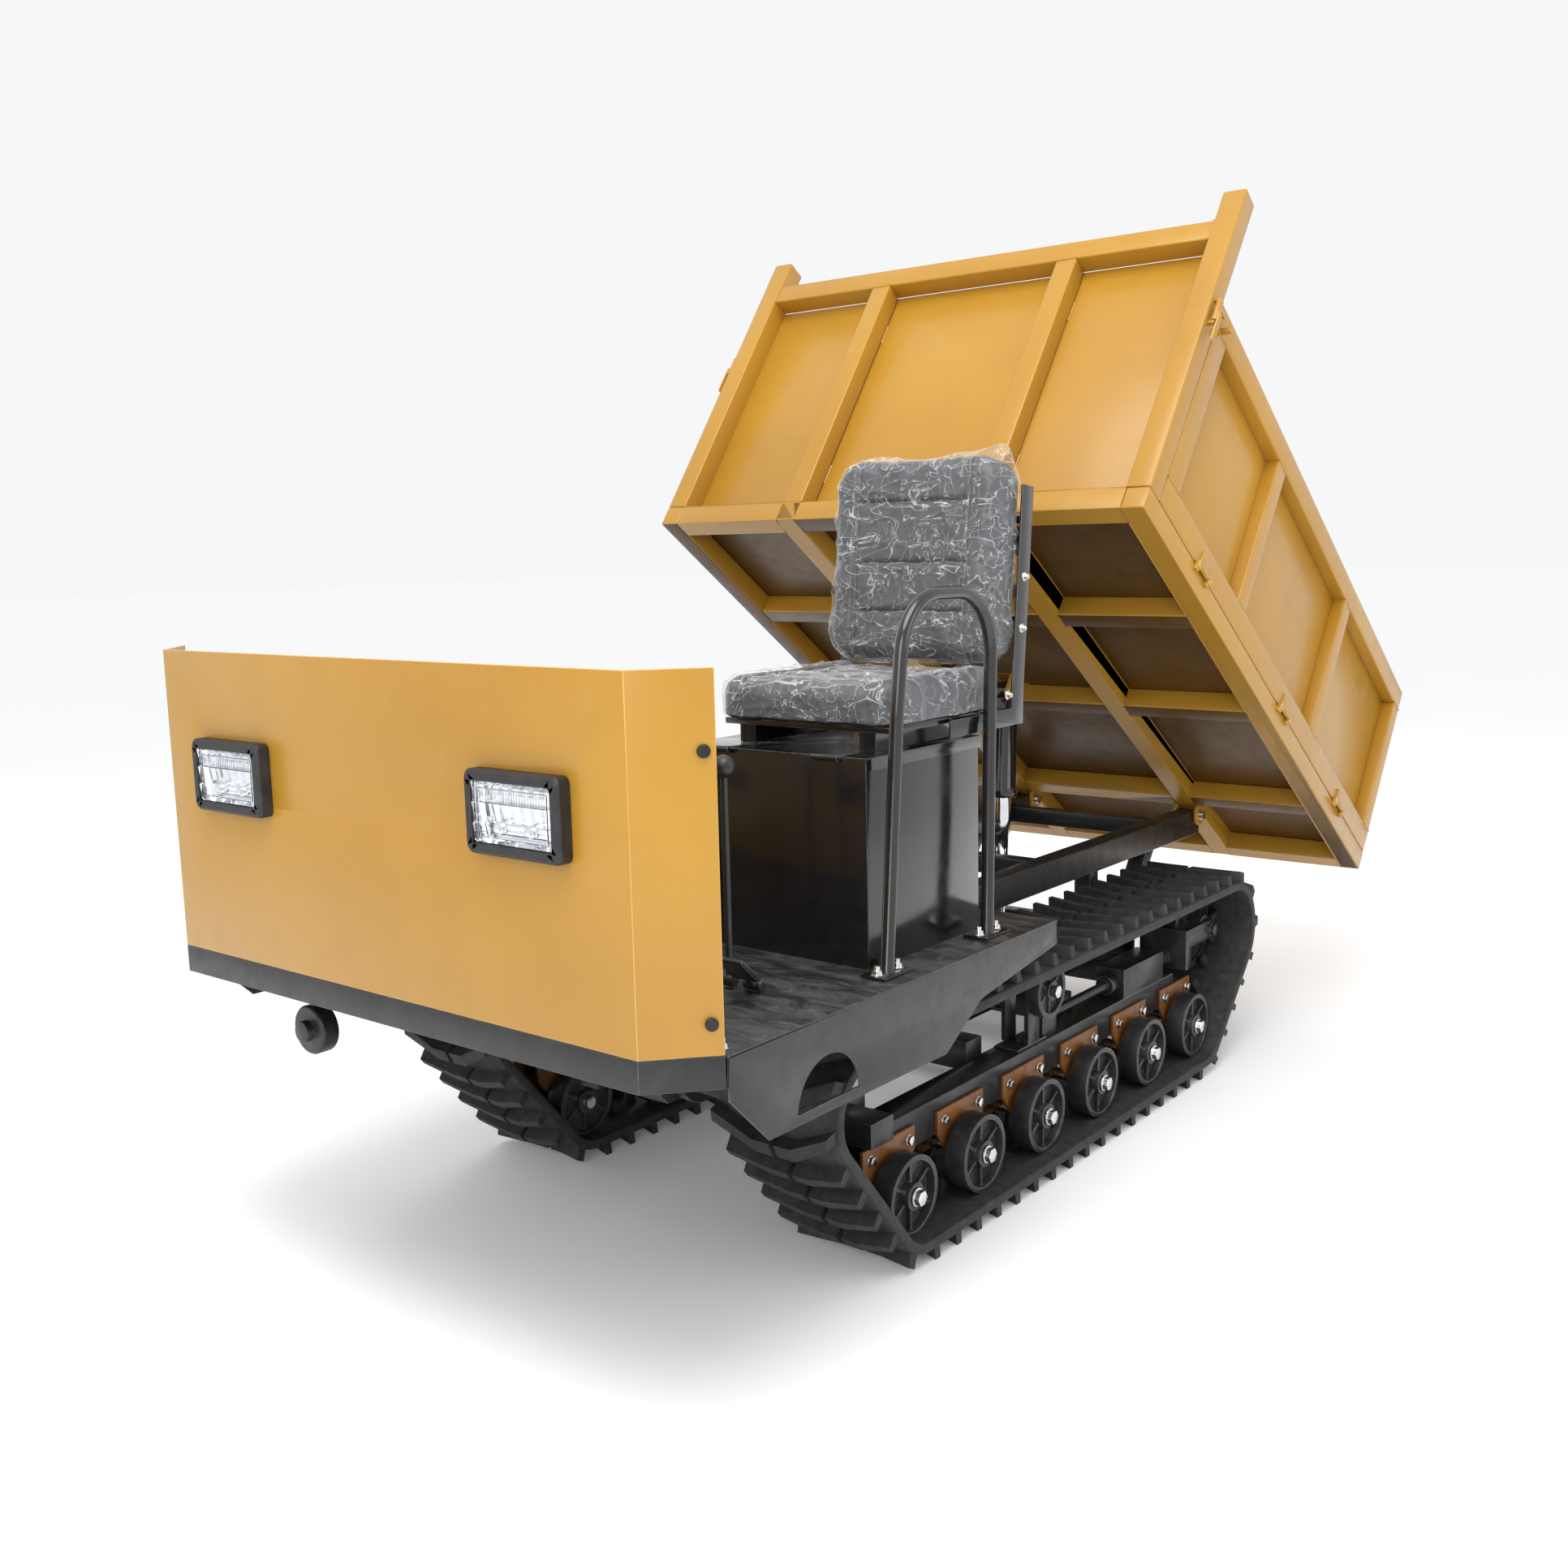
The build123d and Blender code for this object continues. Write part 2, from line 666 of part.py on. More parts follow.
def belt_outline(grow):
    """The closed outline, in (y, z), of a band stretched round sprocket, idler and end rollers."""
    rounds = [
        (sprocket_y, sprocket_z, sprocket_radius),
        (roller_places()[0], belt_thick + lug_high + roller_radius, roller_radius),
        (roller_places()[-1], belt_thick + lug_high + roller_radius, roller_radius),
        (idler_y, idler_z, idler_radius),
    ]
    corners = []
    for i, (y0, z0, r0) in enumerate(rounds):
        y1, z1, r1 = rounds[(i + 1) % len(rounds)]
        run = hypot(y1 - y0, z1 - z0)
        turn = atan2(z1 - z0, y1 - y0) - pi / 2 + asin((r0 - r1) / run)
        corners.append(((y0, z0, r0 + grow), (y1, z1, r1 + grow), turn))
    return corners


def belt_runs(grow):
    """Straight runs and arcs of the band, anticlockwise seen from the left, each with its length."""
    runs = []
    corners = belt_outline(grow)
    for i, (a, b, turn) in enumerate(corners):
        start = (a[0] + a[2] * cos(turn), a[1] + a[2] * sin(turn))
        end = (b[0] + b[2] * cos(turn), b[1] + b[2] * sin(turn))
        following = corners[(i + 1) % len(corners)][2]
        sweep = (following - turn) % (2 * pi)
        runs.append(("line", start, end, turn))
        runs.append(("arc", (b[0], b[1]), b[2], turn, sweep))
    return runs


def belt_face(grow):
    edges = []
    for run in belt_runs(grow):
        if run[0] == "line":
            edges.append(Line(run[1], run[2]))
        else:
            centre, radius, turn, sweep = run[1:]
            points = [
                (centre[0] + radius * cos(turn + sweep * k), centre[1] + radius * sin(turn + sweep * k))
                for k in (0, 0.5, 1)
            ]
            edges.append(ThreePointArc(*points))
    return make_face(edges)


def belt_stations(grow, count):
    """Evenly spaced places along the band: position and outward direction, in radians."""
    lengths = []
    for run in belt_runs(grow):
        if run[0] == "line":
            lengths.append(hypot(run[2][0] - run[1][0], run[2][1] - run[1][1]))
        else:
            lengths.append(run[2] * run[4])
    total = sum(lengths)
    places = []
    for i in range(count):
        left = total * i / count
        for run, length in zip(belt_runs(grow), lengths):
            if left < length:
                share = left / length
                if run[0] == "line":
                    y = run[1][0] + share * (run[2][0] - run[1][0])
                    z = run[1][1] + share * (run[2][1] - run[1][1])
                    places.append((y, z, run[3]))
                else:
                    angle = run[3] + share * run[4]
                    places.append((run[1][0] + run[2] * cos(angle), run[1][1] + run[2] * sin(angle), angle))
                break
            left -= length
    return places, total


def belt_regions():
    """Prisms that part the track along its length: one for each straight run, several round each wheel."""
    reach = belt_thick + lug_high + 2
    depth = -horn_high - 2
    x = (track_centre - track_width / 2 - 1, track_centre + track_width / 2 + 1)
    regions = []
    for run in belt_runs(0):
        if run[0] == "line":
            start, end, turn = run[1:]
            corners = [
                (point[0] + rise * cos(turn), point[1] + rise * sin(turn))
                for point, rise in ((start, depth), (end, depth), (end, reach), (start, reach))
            ]
            regions.append(side_prism(corners, x))
            continue
        centre, radius, turn, sweep = run[1:]
        parts = max(1, round(sweep / radians(arc_share)))
        step = sweep / parts
        far = (radius + reach) / cos(step / 4)
        for i in range(parts):
            turns = [turn + step * (i + k / 2) for k in range(3)]
            fan = [(centre[0] + far * cos(angle), centre[1] + far * sin(angle)) for angle in turns]
            regions.append(side_prism([centre, *fan], x))
    return regions


def rubber_track():
    """Left rubber track: belt, chevron lugs outside and two rows of guide horns inside.

    It is written as one solid for each straight run and several round each wheel."""
    left = track_centre - track_width / 2
    band = extrude(Plane.YZ.offset(left) * belt_face(belt_thick), track_width)
    band = band - extrude(Plane.YZ.offset(left - 1) * belt_face(0), track_width + 2)
    count = round(belt_stations(belt_thick / 2, 1)[1] / lug_pitch)
    half = track_width / 2
    front = (lug_sweep + lug_root) / 2
    chevron = [
        (-half, front),
        (0, front - lug_sweep),
        (half, front),
        (half, front - lug_root),
        (0, front - lug_root - lug_sweep),
        (-half, front - lug_root),
    ]
    lug_base = Plane.XY.offset(-lug_sink) * make_face(Polyline(*chevron, close=True))
    lug = extrude(lug_base, lug_high + 2 * lug_sink)
    horn = block((horn_inner, horn_outer), (-horn_long / 2, horn_long / 2), (-horn_high, 3))
    horn = chamfer(horn.faces().sort_by(Axis.Z)[0].edges().filter_by(Axis.X), 9.0)
    outside, _ = belt_stations(belt_thick, count)
    inside, _ = belt_stations(0, count)
    envelope = extrude(Plane.YZ.offset(left) * belt_face(belt_thick + lug_high), track_width)
    pieces = [band]
    for y, z, angle in outside:
        pieces.append((Pos(track_centre, y, z) * Rot(degrees(angle) - 90, 0, 0) * lug) & envelope)
    for y, z, angle in inside:
        place = Pos(track_centre, y, z) * Rot(degrees(angle) - 90, 0, 0)
        pieces.append(place * horn)
        pieces.append(place * mirrored(horn))
    whole = weld(pieces)
    return [piece for region in belt_regions() for piece in (whole & region).solids()]


def wheel_disc(x, radius, bore, hub):
    """A dished wheel along X: rim, thin web, hub and ribs."""
    width = x[1] - x[0]
    rim = round_x(x, 0, 0, radius) - round_x((x[0] - 1, x[1] + 1), 0, 0, radius - 12)
    web_x = (x[0] + width * 0.35, x[0] + width * 0.35 + 9)
    web = round_x(web_x, 0, 0, radius - 10)
    boss = round_x((x[0] - 3, x[1] + 3), 0, 0, hub)
    ribs = []
    for i in range(6):
        rib = block((x[0] + width * 0.2, x[0] + width * 0.8), (-3.5, 3.5), (hub - 3, radius - 9))
        ribs.append(Rot(60 * i, 0, 0) * rib)
    return weld([rim, web, boss, *ribs]) - round_x((x[0] - 5, x[1] + 5), 0, 0, bore)


def roller():
    """One track roller at the origin: two wheels on the same axle."""
    return [
        wheel_disc(roller_near, roller_radius, roller_axle + running_gap, roller_hub),
        wheel_disc(roller_far, roller_radius, roller_axle + running_gap, roller_hub),
    ]


def carrier():
    """The small roller that carries the upper run."""
    return [
        wheel_disc(carrier_near, carrier_radius, carrier_axle + running_gap, carrier_hub),
        wheel_disc(carrier_far, carrier_radius, carrier_axle + running_gap, carrier_hub),
    ]


def sprocket():
    """Toothed drive wheel with its hub and shaft nut, at the origin."""
    x = (track_centre - sprocket_width / 2, track_centre + sprocket_width / 2)
    root = sprocket_radius - 24
    disc = round_x(x, 0, 0, root)
    teeth = []
    for i in range(sprocket_teeth):
        tip = sprocket_radius - 1
        tooth = side_prism([(-17, root - 6), (-9, tip), (9, tip), (17, root - 6)], x)
        teeth.append(Rot(360 / sprocket_teeth * i, 0, 0) * tooth)
    hub = round_x((drive_reach + 0.4, track_centre + 34), 0, 0, 38.0)
    nut = hexagon_x((track_centre + 34, track_centre + 52), 0, 0, 46.0)
    holes = [
        Rot(360 / sprocket_teeth * (i + 0.5), 0, 0) * round_x((x[0] - 1, x[1] + 1), 0, 56.0, 8.0)
        for i in range(sprocket_teeth)
    ]
    return weld([disc, *teeth, hub, nut]) - holes


def idler():
    """Front-to-back tension wheel that runs between the guide horns, at the origin."""
    x = (track_centre - idler_width / 2, track_centre + idler_width / 2)
    rim = round_x(x, 0, 0, idler_radius - wheel_gap)
    recess = [
        round_x((x[0] - 1, x[0] + 12), 0, 0, idler_radius - 18),
        round_x((x[1] - 12, x[1] + 1), 0, 0, idler_radius - 18),
    ]
    hub = round_x((track_centre - 56, track_centre + 56), 0, 0, 40.0)
    ribs = [
        Rot(60 * i, 0, 0) * block((x[0] + 4, x[1] - 4), (-4, 4), (36, idler_radius - 14)) for i in range(6)
    ]
    bore = round_x((track_centre - 60, track_centre + 60), 0, 0, 18.0 + running_gap)
    return weld([rim - recess, hub, *ribs]) - bore


def idler_yoke():
    """Sliding fork: shaft into the tensioner, crosshead, two arms and the idler's axle."""
    z = sprocket_z + sprocket_radius - idler_radius
    shaft = round_y(track_centre, (tensioner_y[1] - 110, 2300), yoke_axis, yoke_radius)
    cross = block((track_centre - 71, track_centre + 71), (2296, 2324), (yoke_axis - 32, z + 26))
    arms = []
    for s in (-1, 1):
        x = (track_centre + s * 65 - 6, track_centre + s * 65 + 6)
        arm = block(x, (2300, idler_y + 30), (z - 26, z + 26))
        arms.append(arm)
    axle = round_x((track_centre - 74, track_centre + 78), idler_y, z, 18.0)
    nut = hexagon_x((track_centre + 78, track_centre + 90), idler_y, z, 30.0)
    return weld([shaft, cross, *arms, axle, nut])


# ---- seat, lid, rail and controls ------------------------------------------------------------------------
def seat_lid():
    """Lid of the engine box, hinged along its front edge."""
    x = (box_x[0] - lid_gap - sheet, box_x[1] + lid_gap + sheet)
    rear = box_y[1] + lid_gap + sheet
    low = box_top + 1.0
    top = block(x, (box_y[0] - 4, rear), (low, low + sheet))
    rims = [
        block((x[0], x[0] + sheet), (box_y[0] + 12, rear), (low - lid_rim, low + 1)),
        block((x[1] - sheet, x[1]), (box_y[0] + 12, rear), (low - lid_rim, low + 1)),
        block(x, (rear - sheet, rear), (low - lid_rim, low + 1)),
    ]
    knuckles = [
        round_x((c - 32, c + 32), box_y[0] - 8, low, 6.5) for c in (box_x[0] + 90, box_x[1] - 90)
    ]
    leaves = [
        block((c - 32, c + 32), (box_y[0] - 9, box_y[0] + 30), (low, low + 4.5))
        for c in (box_x[0] + 90, box_x[1] - 90)
    ]
    return weld([top, *rims, *knuckles, *leaves])


def seat_frame():
    """Steel pan under the cushion and the side frames that carry the backrest."""
    low = box_top + 1.0 + sheet
    pan_x = (seat_centre - 205, seat_centre + 205)
    pan = block(pan_x, (cushion_front + 25, cushion_rear - 25), (cushion_low - 14, cushion_low - 1.5))
    runners = [
        block(around(seat_centre + s * 150, 40.0), (720, 1040), (low + 0.3, cushion_low - 10))
        for s in (-1, 1)
    ]
    pieces = [pan, *runners]
    for s in (-1, 1):
        outer = seat_centre + s * (back_width / 2 + frame_plate + 2)
        inner = outer - s * frame_plate
        x = (min(outer, inner), max(outer, inner))
        lean = radians(back_lean)
        foot = (1060.0, cushion_low - 32)
        bend = (back_front + back_thick + 6, back_low - 30)
        top = (bend[0] + sin(lean) * 400, bend[1] + cos(lean) * 400)
        low_arm = slanted_bar((900.0, cushion_low - 24), (bend[0] - 8, cushion_low - 22), x, 36.0)
        riser = slanted_bar((bend[0] - 4, cushion_low - 40), bend, x, frame_depth)
        upright = slanted_bar((bend[0], bend[1] - 12), top, x, frame_depth)
        link_x = (min(inner, seat_centre + s * 195), max(inner, seat_centre + s * 195))
        link = block(link_x, (930, 1040), (cushion_low - 14, cushion_low - 6))
        pieces += [low_arm, riser, upright, link]
    lean = radians(back_lean)
    for height in (120.0, 330.0):
        y = back_front + back_thick + 6 + sin(lean) * height + 6
        z = back_low - 30 + cos(lean) * height
        half = back_width / 2 + 4
        pieces.append(round_x((seat_centre - half, seat_centre + half), y, z, 10.0))
    return weld(pieces)


def cushion():
    body = block(
        (seat_centre - cushion_width / 2, seat_centre + cushion_width / 2),
        (cushion_front, cushion_rear),
        (cushion_low, cushion_high),
    )
    body = fillet(body.edges().filter_by(Axis.Z), 60.0)
    return fillet(body.faces().sort_by(Axis.Z)[-1].outer_wire().edges(), 22.0)


def back_cushion():
    body = block((-back_width / 2, back_width / 2), (0, back_thick), (0, back_high - back_low))
    body = fillet(body.edges().filter_by(Axis.Y), 70.0)
    body = fillet(body.faces().sort_by(Axis.Y)[0].outer_wire().edges(), 22.0)
    return Pos(seat_centre, back_front, back_low) * Rot(-back_lean, 0, 0) * body


def grab_rail():
    low = deck_top + 0.2
    path = FilletPolyline(
        (rail_x, rail_foot_front, low + 3),
        (rail_x, rail_foot_front + 42, 1180.0),
        (rail_x, rail_foot_front + 72, rail_top - rail_radius),
        (rail_x, rail_foot_rear + 20, rail_top - rail_radius),
        (rail_x, rail_foot_rear, low + 3),
        radius=[300.0, rail_bend, rail_bend],
    )
    start = Plane(origin=path @ 0, z_dir=path % 0)
    tube = sweep(start * Circle(rail_radius), path=path)
    feet = [
        Pos(rail_x, y, low + foot_plate[2] / 2) * Box(foot_plate[1], foot_plate[0], foot_plate[2])
        for y in (rail_foot_front, rail_foot_rear)
    ]
    return weld([tube, *feet])


def deck_fasteners():
    """Zinc bolts of the grab rail's feet and of the deck's corners."""
    base = deck_top + 0.2 + foot_plate[2]
    places = []
    for y in (rail_foot_front, rail_foot_rear):
        for s in (-1, 1):
            places.append((rail_x, y + s * 33, base))
    for s in (-1, 1):
        places.append((s * 720.0, 130.0, deck_top))
    bolts = []
    for x, y, z in places:
        washer = round_z(x, y, (z, z + 2.5), 12.5)
        head = hexagon_z(x, y, (z + 2, z + 10), 19.0)
        stud = round_z(x, y, (z + 9, z + 18), 6.0)
        bolts.append(weld([washer, head, stud]))
    return bolts


def lever(x, y, low, high, lean):
    """A hand lever with a ball knob, standing on the deck."""
    foot = round_x((x - 12, x + 12), y, low + 14, 12.0)
    stem = Pos(x, y, low + 14) * Rot(-lean, 0, 0) * Pos(0, 0, (high - low) / 2) * Cylinder(7.0, high - low)
    knob = Pos(x, y, low + 14) * Rot(-lean, 0, 0) * Pos(0, 0, high - low) * Sphere(21.0)
    return weld([foot, stem, knob])


def foot_pedal():
    x = 560.0
    y = 360.0
    low = deck_top + 2.0
    foot = round_x((x - 20, x + 20), y + 46, low + 12, 10.0)
    arm = slanted_bar((y + 46, low + 12), (y + 8, low + 52), (x - 8, x + 8), 12.0)
    pad = slanted_bar((y - 22, low + 74), (y + 26, low + 28), (x - 30, x + 30), 10.0)
    pad = fillet(pad.edges().filter_by(Axis.X), 4.0)
    return weld([foot, arm, pad])


# ---- bed, drawn level: (x, along, rise) with along measured forward from the hinge --------------------------
def bed_block(x, along, rise):
    return block(x, (-along[1], -along[0]), rise)


bed_top = bed_low + bed_tube
floor_top = bed_top + floor_sheet


ear_thick = 10.0
ear_radius = 32.0
leaf_thick = 6.0


def gate_hinge_fixed(side, along):
    """The two outer knuckles of a side gate's hinge with their leaves, on the bed's side tube, and its pin."""
    x = side * (bed_half_width + hinge_offset)
    rise = bed_top + 1
    reach = knuckle_long / 2 + 20
    pieces = [round_y(x, (-along - reach, -along + reach), rise, gate_pin)]
    for end in (-1, 1):
        middle = along + end * (knuckle_long / 2 + 10)
        span = (middle - 9, middle + 9)
        leaf_x = both(side * (bed_half_width - 3), x)
        pieces.append(round_y(x, (-span[1], -span[0]), rise, knuckle_radius))
        pieces.append(bed_block(leaf_x, span, (bed_top - 16, bed_top - 2)))
        pieces.append(bed_block((x - 5, x + 5), span, (bed_top - 12, bed_top)))
    return weld(pieces)


def bed_frame():
    """Floor frame of square tube, its sheet, the ears and pins of its hinges and the cylinder's upper bracket."""
    inner = bed_half_width - bed_tube
    tube_z = (bed_low, bed_top)
    pieces = []
    for s in (-1, 1):
        pieces.append(bed_block(both(s * inner, s * bed_half_width), (-bed_rear, bed_front), tube_z))
        pieces.append(bed_block(around(s * rail_centre, bed_rail_width), (-bed_rear, bed_front), tube_z))
    for middle in (bed_front - bed_tube / 2, *cross_places, -bed_rear + bed_tube / 2):
        pieces.append(bed_block((-inner, inner), around(middle, bed_tube), tube_z))
    sheet_x = bed_half_width - gate_thick - seam
    sheet_along = (-bed_rear + 2, bed_front - post_size - seam)
    pieces.append(bed_block((-sheet_x, sheet_x), sheet_along, (bed_top, floor_top)))
    # ears round the rails' ends
    for s in (-1, 1):
        for side in (-1, 1):
            inside = s * rail_centre + side * bed_rail_width / 2
            x = both(inside, inside + side * ear_thick)
            ear = bed_block(x, (-ear_radius, ear_radius), (0, bed_low + 44))
            ear = weld([ear, round_x(x, 0, 0, ear_radius)])
            pieces.append(ear - round_x((x[0] - 1, x[1] + 1), 0, 0, hinge_pin + running_gap))
    # cylinder bracket between two cross plates
    plate_along = (cross_places[1] + bed_tube / 2, cross_places[0] - bed_tube / 2)
    bracket = [
        bed_block((-40, 40), plate_along, (bed_low + 6, bed_top)),
        round_x((-eye_width / 2 - 24, eye_width / 2 + 24), -upper_pin_along, upper_pin_rise, pin_radius),
    ]
    for s in (-1, 1):
        bracket.append(
            bed_block(pin_cheeks(s), around(upper_pin_along + 2, 56.0), (upper_pin_rise - 22, bed_low + 8))
        )
    for end in (upper_pin_along - 26, upper_pin_along + 5):
        bracket.append(bed_block((-60, 60), (end, end + 25), (bed_low + 2, bed_low + 10)))
    pieces.append(weld(bracket))
    pieces += [gate_hinge_fixed(s, along) for along in gate_hinges for s in (-1, 1)]
    return butted(pieces)


def headboard():
    """Front wall: corner posts with latch brackets, top rail, two uprights and a recessed sheet."""
    base = bed_top + 0.2
    outer = bed_half_width
    along = (bed_front - post_size, bed_front)
    pieces = []
    for s in (-1, 1):
        upright_x = around(s * rail_centre, bed_rail_width)
        pieces.append(bed_block(both(s * (outer - post_size), s * outer), along, (base, post_top)))
        pieces.append(bed_block(upright_x, (along[0] + sheet, along[1] - 1), (base, head_rail[0])))
    across = (-outer + post_size, outer - post_size)
    pieces.append(bed_block(across, (along[0] + sheet, along[1] - 2), head_rail))
    pieces.append(bed_block(across, (along[0], along[0] + sheet), (base, head_rail[1])))
    # latch brackets on the outer face of each post, with the pin between them
    for s in (-1, 1):
        for end in (-1, 1):
            rise = both(latch_high + end * latch_eye / 2, latch_high + end * (latch_eye / 2 + 8))
            bracket_x = both(s * outer, s * (outer + latch_stand + 3))
            pieces.append(bed_block(bracket_x, around(bed_front - latch_inset, 11.0), rise))
        pin_z = around(latch_high, latch_eye)
        pieces.append(round_z(s * (outer + latch_stand), -bed_front + latch_inset, pin_z, gate_pin))
    return butted(pieces)


def side_gate():
    """Left side gate, with a recessed sheet, uprights and its half of the hinges."""
    outer = bed_half_width
    x = (outer - gate_thick, outer)
    front = bed_front - post_size - seam
    rear = -bed_rear
    low = bed_top + seam
    pieces = [
        bed_block(x, (rear, front), (low, low + gate_bottom_rail)),
        bed_block(x, (rear, front), (gate_top - gate_top_rail, gate_top)),
        bed_block(x, (front - 76, front), (low, gate_top)),
        bed_block(x, (rear, rear + 54), (low, gate_top)),
        bed_block((x[0], x[0] + sheet), (rear, front), (low, gate_top)),
    ]
    for middle in gate_uprights:
        pieces.append(bed_block((x[0], x[1] - 1), around(middle, gate_upright), (low, gate_top)))
    axis_x = outer + hinge_offset
    axis_rise = bed_top + 1
    for along in gate_hinges:
        span = (along - knuckle_long / 2 + 1.5, along + knuckle_long / 2 - 1.5)
        knuckle = round_y(axis_x, (-span[1], -span[0]), axis_rise, knuckle_radius)
        web = bed_block((outer + 1.5, axis_x + 1), span, (axis_rise + 3.5, axis_rise + 12))
        leaf = bed_block((outer - 1, outer + 5), span, (axis_rise + 4.5, axis_rise + 44))
        bore = round_y(axis_x, (-span[1] - 1, -span[0] + 1), axis_rise, gate_pin + running_gap)
        pieces.append(weld([knuckle, web, leaf]) - bore)
    # keeper pin for the front latch
    pieces.append(bed_block((outer, outer + 26), (front - 34, front - 22), (latch_high - 6, latch_high + 6)))
    return butted(pieces)


def tailgate():
    """Rear wall between the side gates, hinged along its lower edge."""
    half = bed_half_width - gate_thick - seam
    rear = -bed_rear
    low = floor_top + seam
    along = (rear, rear + 40)
    pieces = [
        bed_block((-half, half), along, (low, low + 62)),
        bed_block((-half, half), along, (gate_top - 58, gate_top)),
        bed_block((-half, half), (along[1] - sheet, along[1]), (low, gate_top)),
    ]
    for s in (-1, 1):
        pieces.append(bed_block(both(s * (half - 56), s * half), along, (low, gate_top)))
        pieces.append(bed_block((s * 240 - 28, s * 240 + 28), along, (low, gate_top)))
        c = s * tailgate_hinge
        ear = bed_block((c - 24, c + 24), (rear - 8, rear + 1), (low - 2, low + 40))
        roll = round_x((c - 24, c + 24), -rear + hinge_offset, low - 2, knuckle_radius)
        bore = round_x((c - 25, c + 25), -rear + hinge_offset, low - 2, gate_pin + running_gap)
        pieces.append(weld([ear, roll]) - bore)
    return butted(pieces)


def tailgate_hinges():
    """Pins and outer knuckles for the tailgate, fixed to the bed's rear tube."""
    hinges = []
    rear = bed_rear
    low = floor_top + seam - 2
    for s in (-1, 1):
        c = s * tailgate_hinge
        pieces = [round_x((c - 46, c + 46), rear + hinge_offset, low, gate_pin)]
        for e in (-1, 1):
            x = around(c + e * 36, 20.0)
            pieces.append(round_x(x, rear + hinge_offset, low, knuckle_radius))
            pieces.append(block(x, (rear, rear + leaf_thick), (bed_top - 34, bed_top - 2)))
            pieces.append(block(x, (rear + 2, rear + 12), (bed_top - 8, low)))
        hinges.append(weld(pieces))
    return hinges


def side_latch():
    """Left front latch: a hand lever on the post with a hook that reaches the gate's keeper."""
    axis_x = bed_half_width + latch_stand
    along = bed_front - latch_inset
    eye = round_z(axis_x, -along, around(latch_high, latch_eye - 2), 9.0)
    neck = bed_block((axis_x, axis_x + 11), around(along, 12.0), (latch_high - 28, latch_high - 8))
    handle = bed_block((axis_x + 8.5, axis_x + 13), around(along, 18.0), (latch_high - 92, latch_high - 8))
    reach = bed_front - post_size - seam + 1.5
    hook = bed_block((axis_x - 5, axis_x + 5), (reach, along), (latch_high + 10, latch_high + 22))
    bore = round_z(axis_x, -along, around(latch_high, latch_eye), gate_pin + running_gap)
    return weld([eye, neck, handle, hook]) - bore


def rear_latch():
    """Left tailgate latch: a turning hook on the tailgate's end upright."""
    half = bed_half_width - gate_thick - seam
    x = half - 28
    y = bed_rear + 1
    boss = round_y(x, (y, y + 16), latch_high, 13.0)
    arm = block((x - 8, x + 62), (y + 4, y + 12), (latch_high - 8, latch_high + 8))
    grip = block((x - 8, x + 8), (y + 4, y + 12), (latch_high - 80, latch_high))
    return weld([boss, arm, grip])


# ---- tipping cylinder ------------------------------------------------------------------------------------
upper_pin = Vector(0, -upper_pin_along, upper_pin_rise).rotate(Axis.X, -tip_angle) + Vector(0, hinge_y, hinge_z)
lower_pin = Vector(0, lower_pin_y, lower_pin_z)
cylinder_line = lower_pin - upper_pin
cylinder_long = cylinder_line.length


def along_cylinder(shape):
    """Places a shape drawn along -Z from the upper pin."""
    angle = degrees(atan2(cylinder_line.Y, -cylinder_line.Z))
    return Pos(*upper_pin) * Rot(angle, 0, 0) * shape


def hollow_down(outer, wall, start, end, through, lip):
    """A tube along -Z, closed at its top, with a narrower lip at its lower end."""
    tube = round_z(0, 0, (-end, -start), outer)
    room = round_z(0, 0, (-end + lip, -start - wall), outer - wall)
    mouth = round_z(0, 0, (-end - 1, -end + lip + 1), through + running_gap)
    return tube - [room, mouth]


def cylinder_barrel():
    eye = round_x((-eye_width / 2, eye_width / 2), 0, 0, eye_radius)
    neck = block((-20, 20), (-20, 20), (-barrel_start - 2, -8))
    tube = hollow_down(barrel_radius, barrel_wall, barrel_start, barrel_length, sleeve_radius, gland_long)
    gland = round_z(0, 0, (-barrel_length, -barrel_length + gland_long), barrel_radius + 5)
    gland = gland - round_z(0, 0, (-barrel_length - 1, -barrel_length + gland_long + 1), barrel_radius - 1)
    port = round_y(0, (-barrel_radius - 16, -barrel_radius + 2), -barrel_start - 24, 11.0)
    pin = round_x((-eye_width, eye_width), 0, 0, pin_radius + running_gap)
    return along_cylinder(weld([eye, neck, tube, gland, port]) - pin)


closed_angle = open_angle - tip_angle
stage_stroke = pin_reach * (sin(radians(open_angle / 2)) - sin(radians(closed_angle / 2)))


def cylinder_sleeve():
    """The middle stage: it leaves the barrel by half of the cylinder's whole stroke."""
    end = barrel_length + stage_stroke
    return along_cylinder(
        hollow_down(sleeve_radius, sleeve_wall, end - sleeve_length, end, rod_radius, gland_long)
    )


def cylinder_rod():
    end = -cylinder_long
    eye = round_x((-eye_width / 2, eye_width / 2), 0, end, eye_radius - 3)
    rod = round_z(0, 0, (end + 16, end + rod_length), rod_radius)
    pin = round_x((-eye_width, eye_width), 0, end, pin_radius + running_gap)
    return along_cylinder(weld([eye, rod]) - pin)


# ---- collect, tip the bed, centre and write --------------------------------------------------------------
def tipped(shape):
    pieces = shape if isinstance(shape, list) else [shape]
    return [Pos(0, hinge_y, hinge_z) * Rot(-tip_angle, 0, 0) * piece for piece in pieces]


def placed(shape, y, z):
    return [Pos(0, y, z) * piece for piece in (shape if isinstance(shape, list) else [shape])]


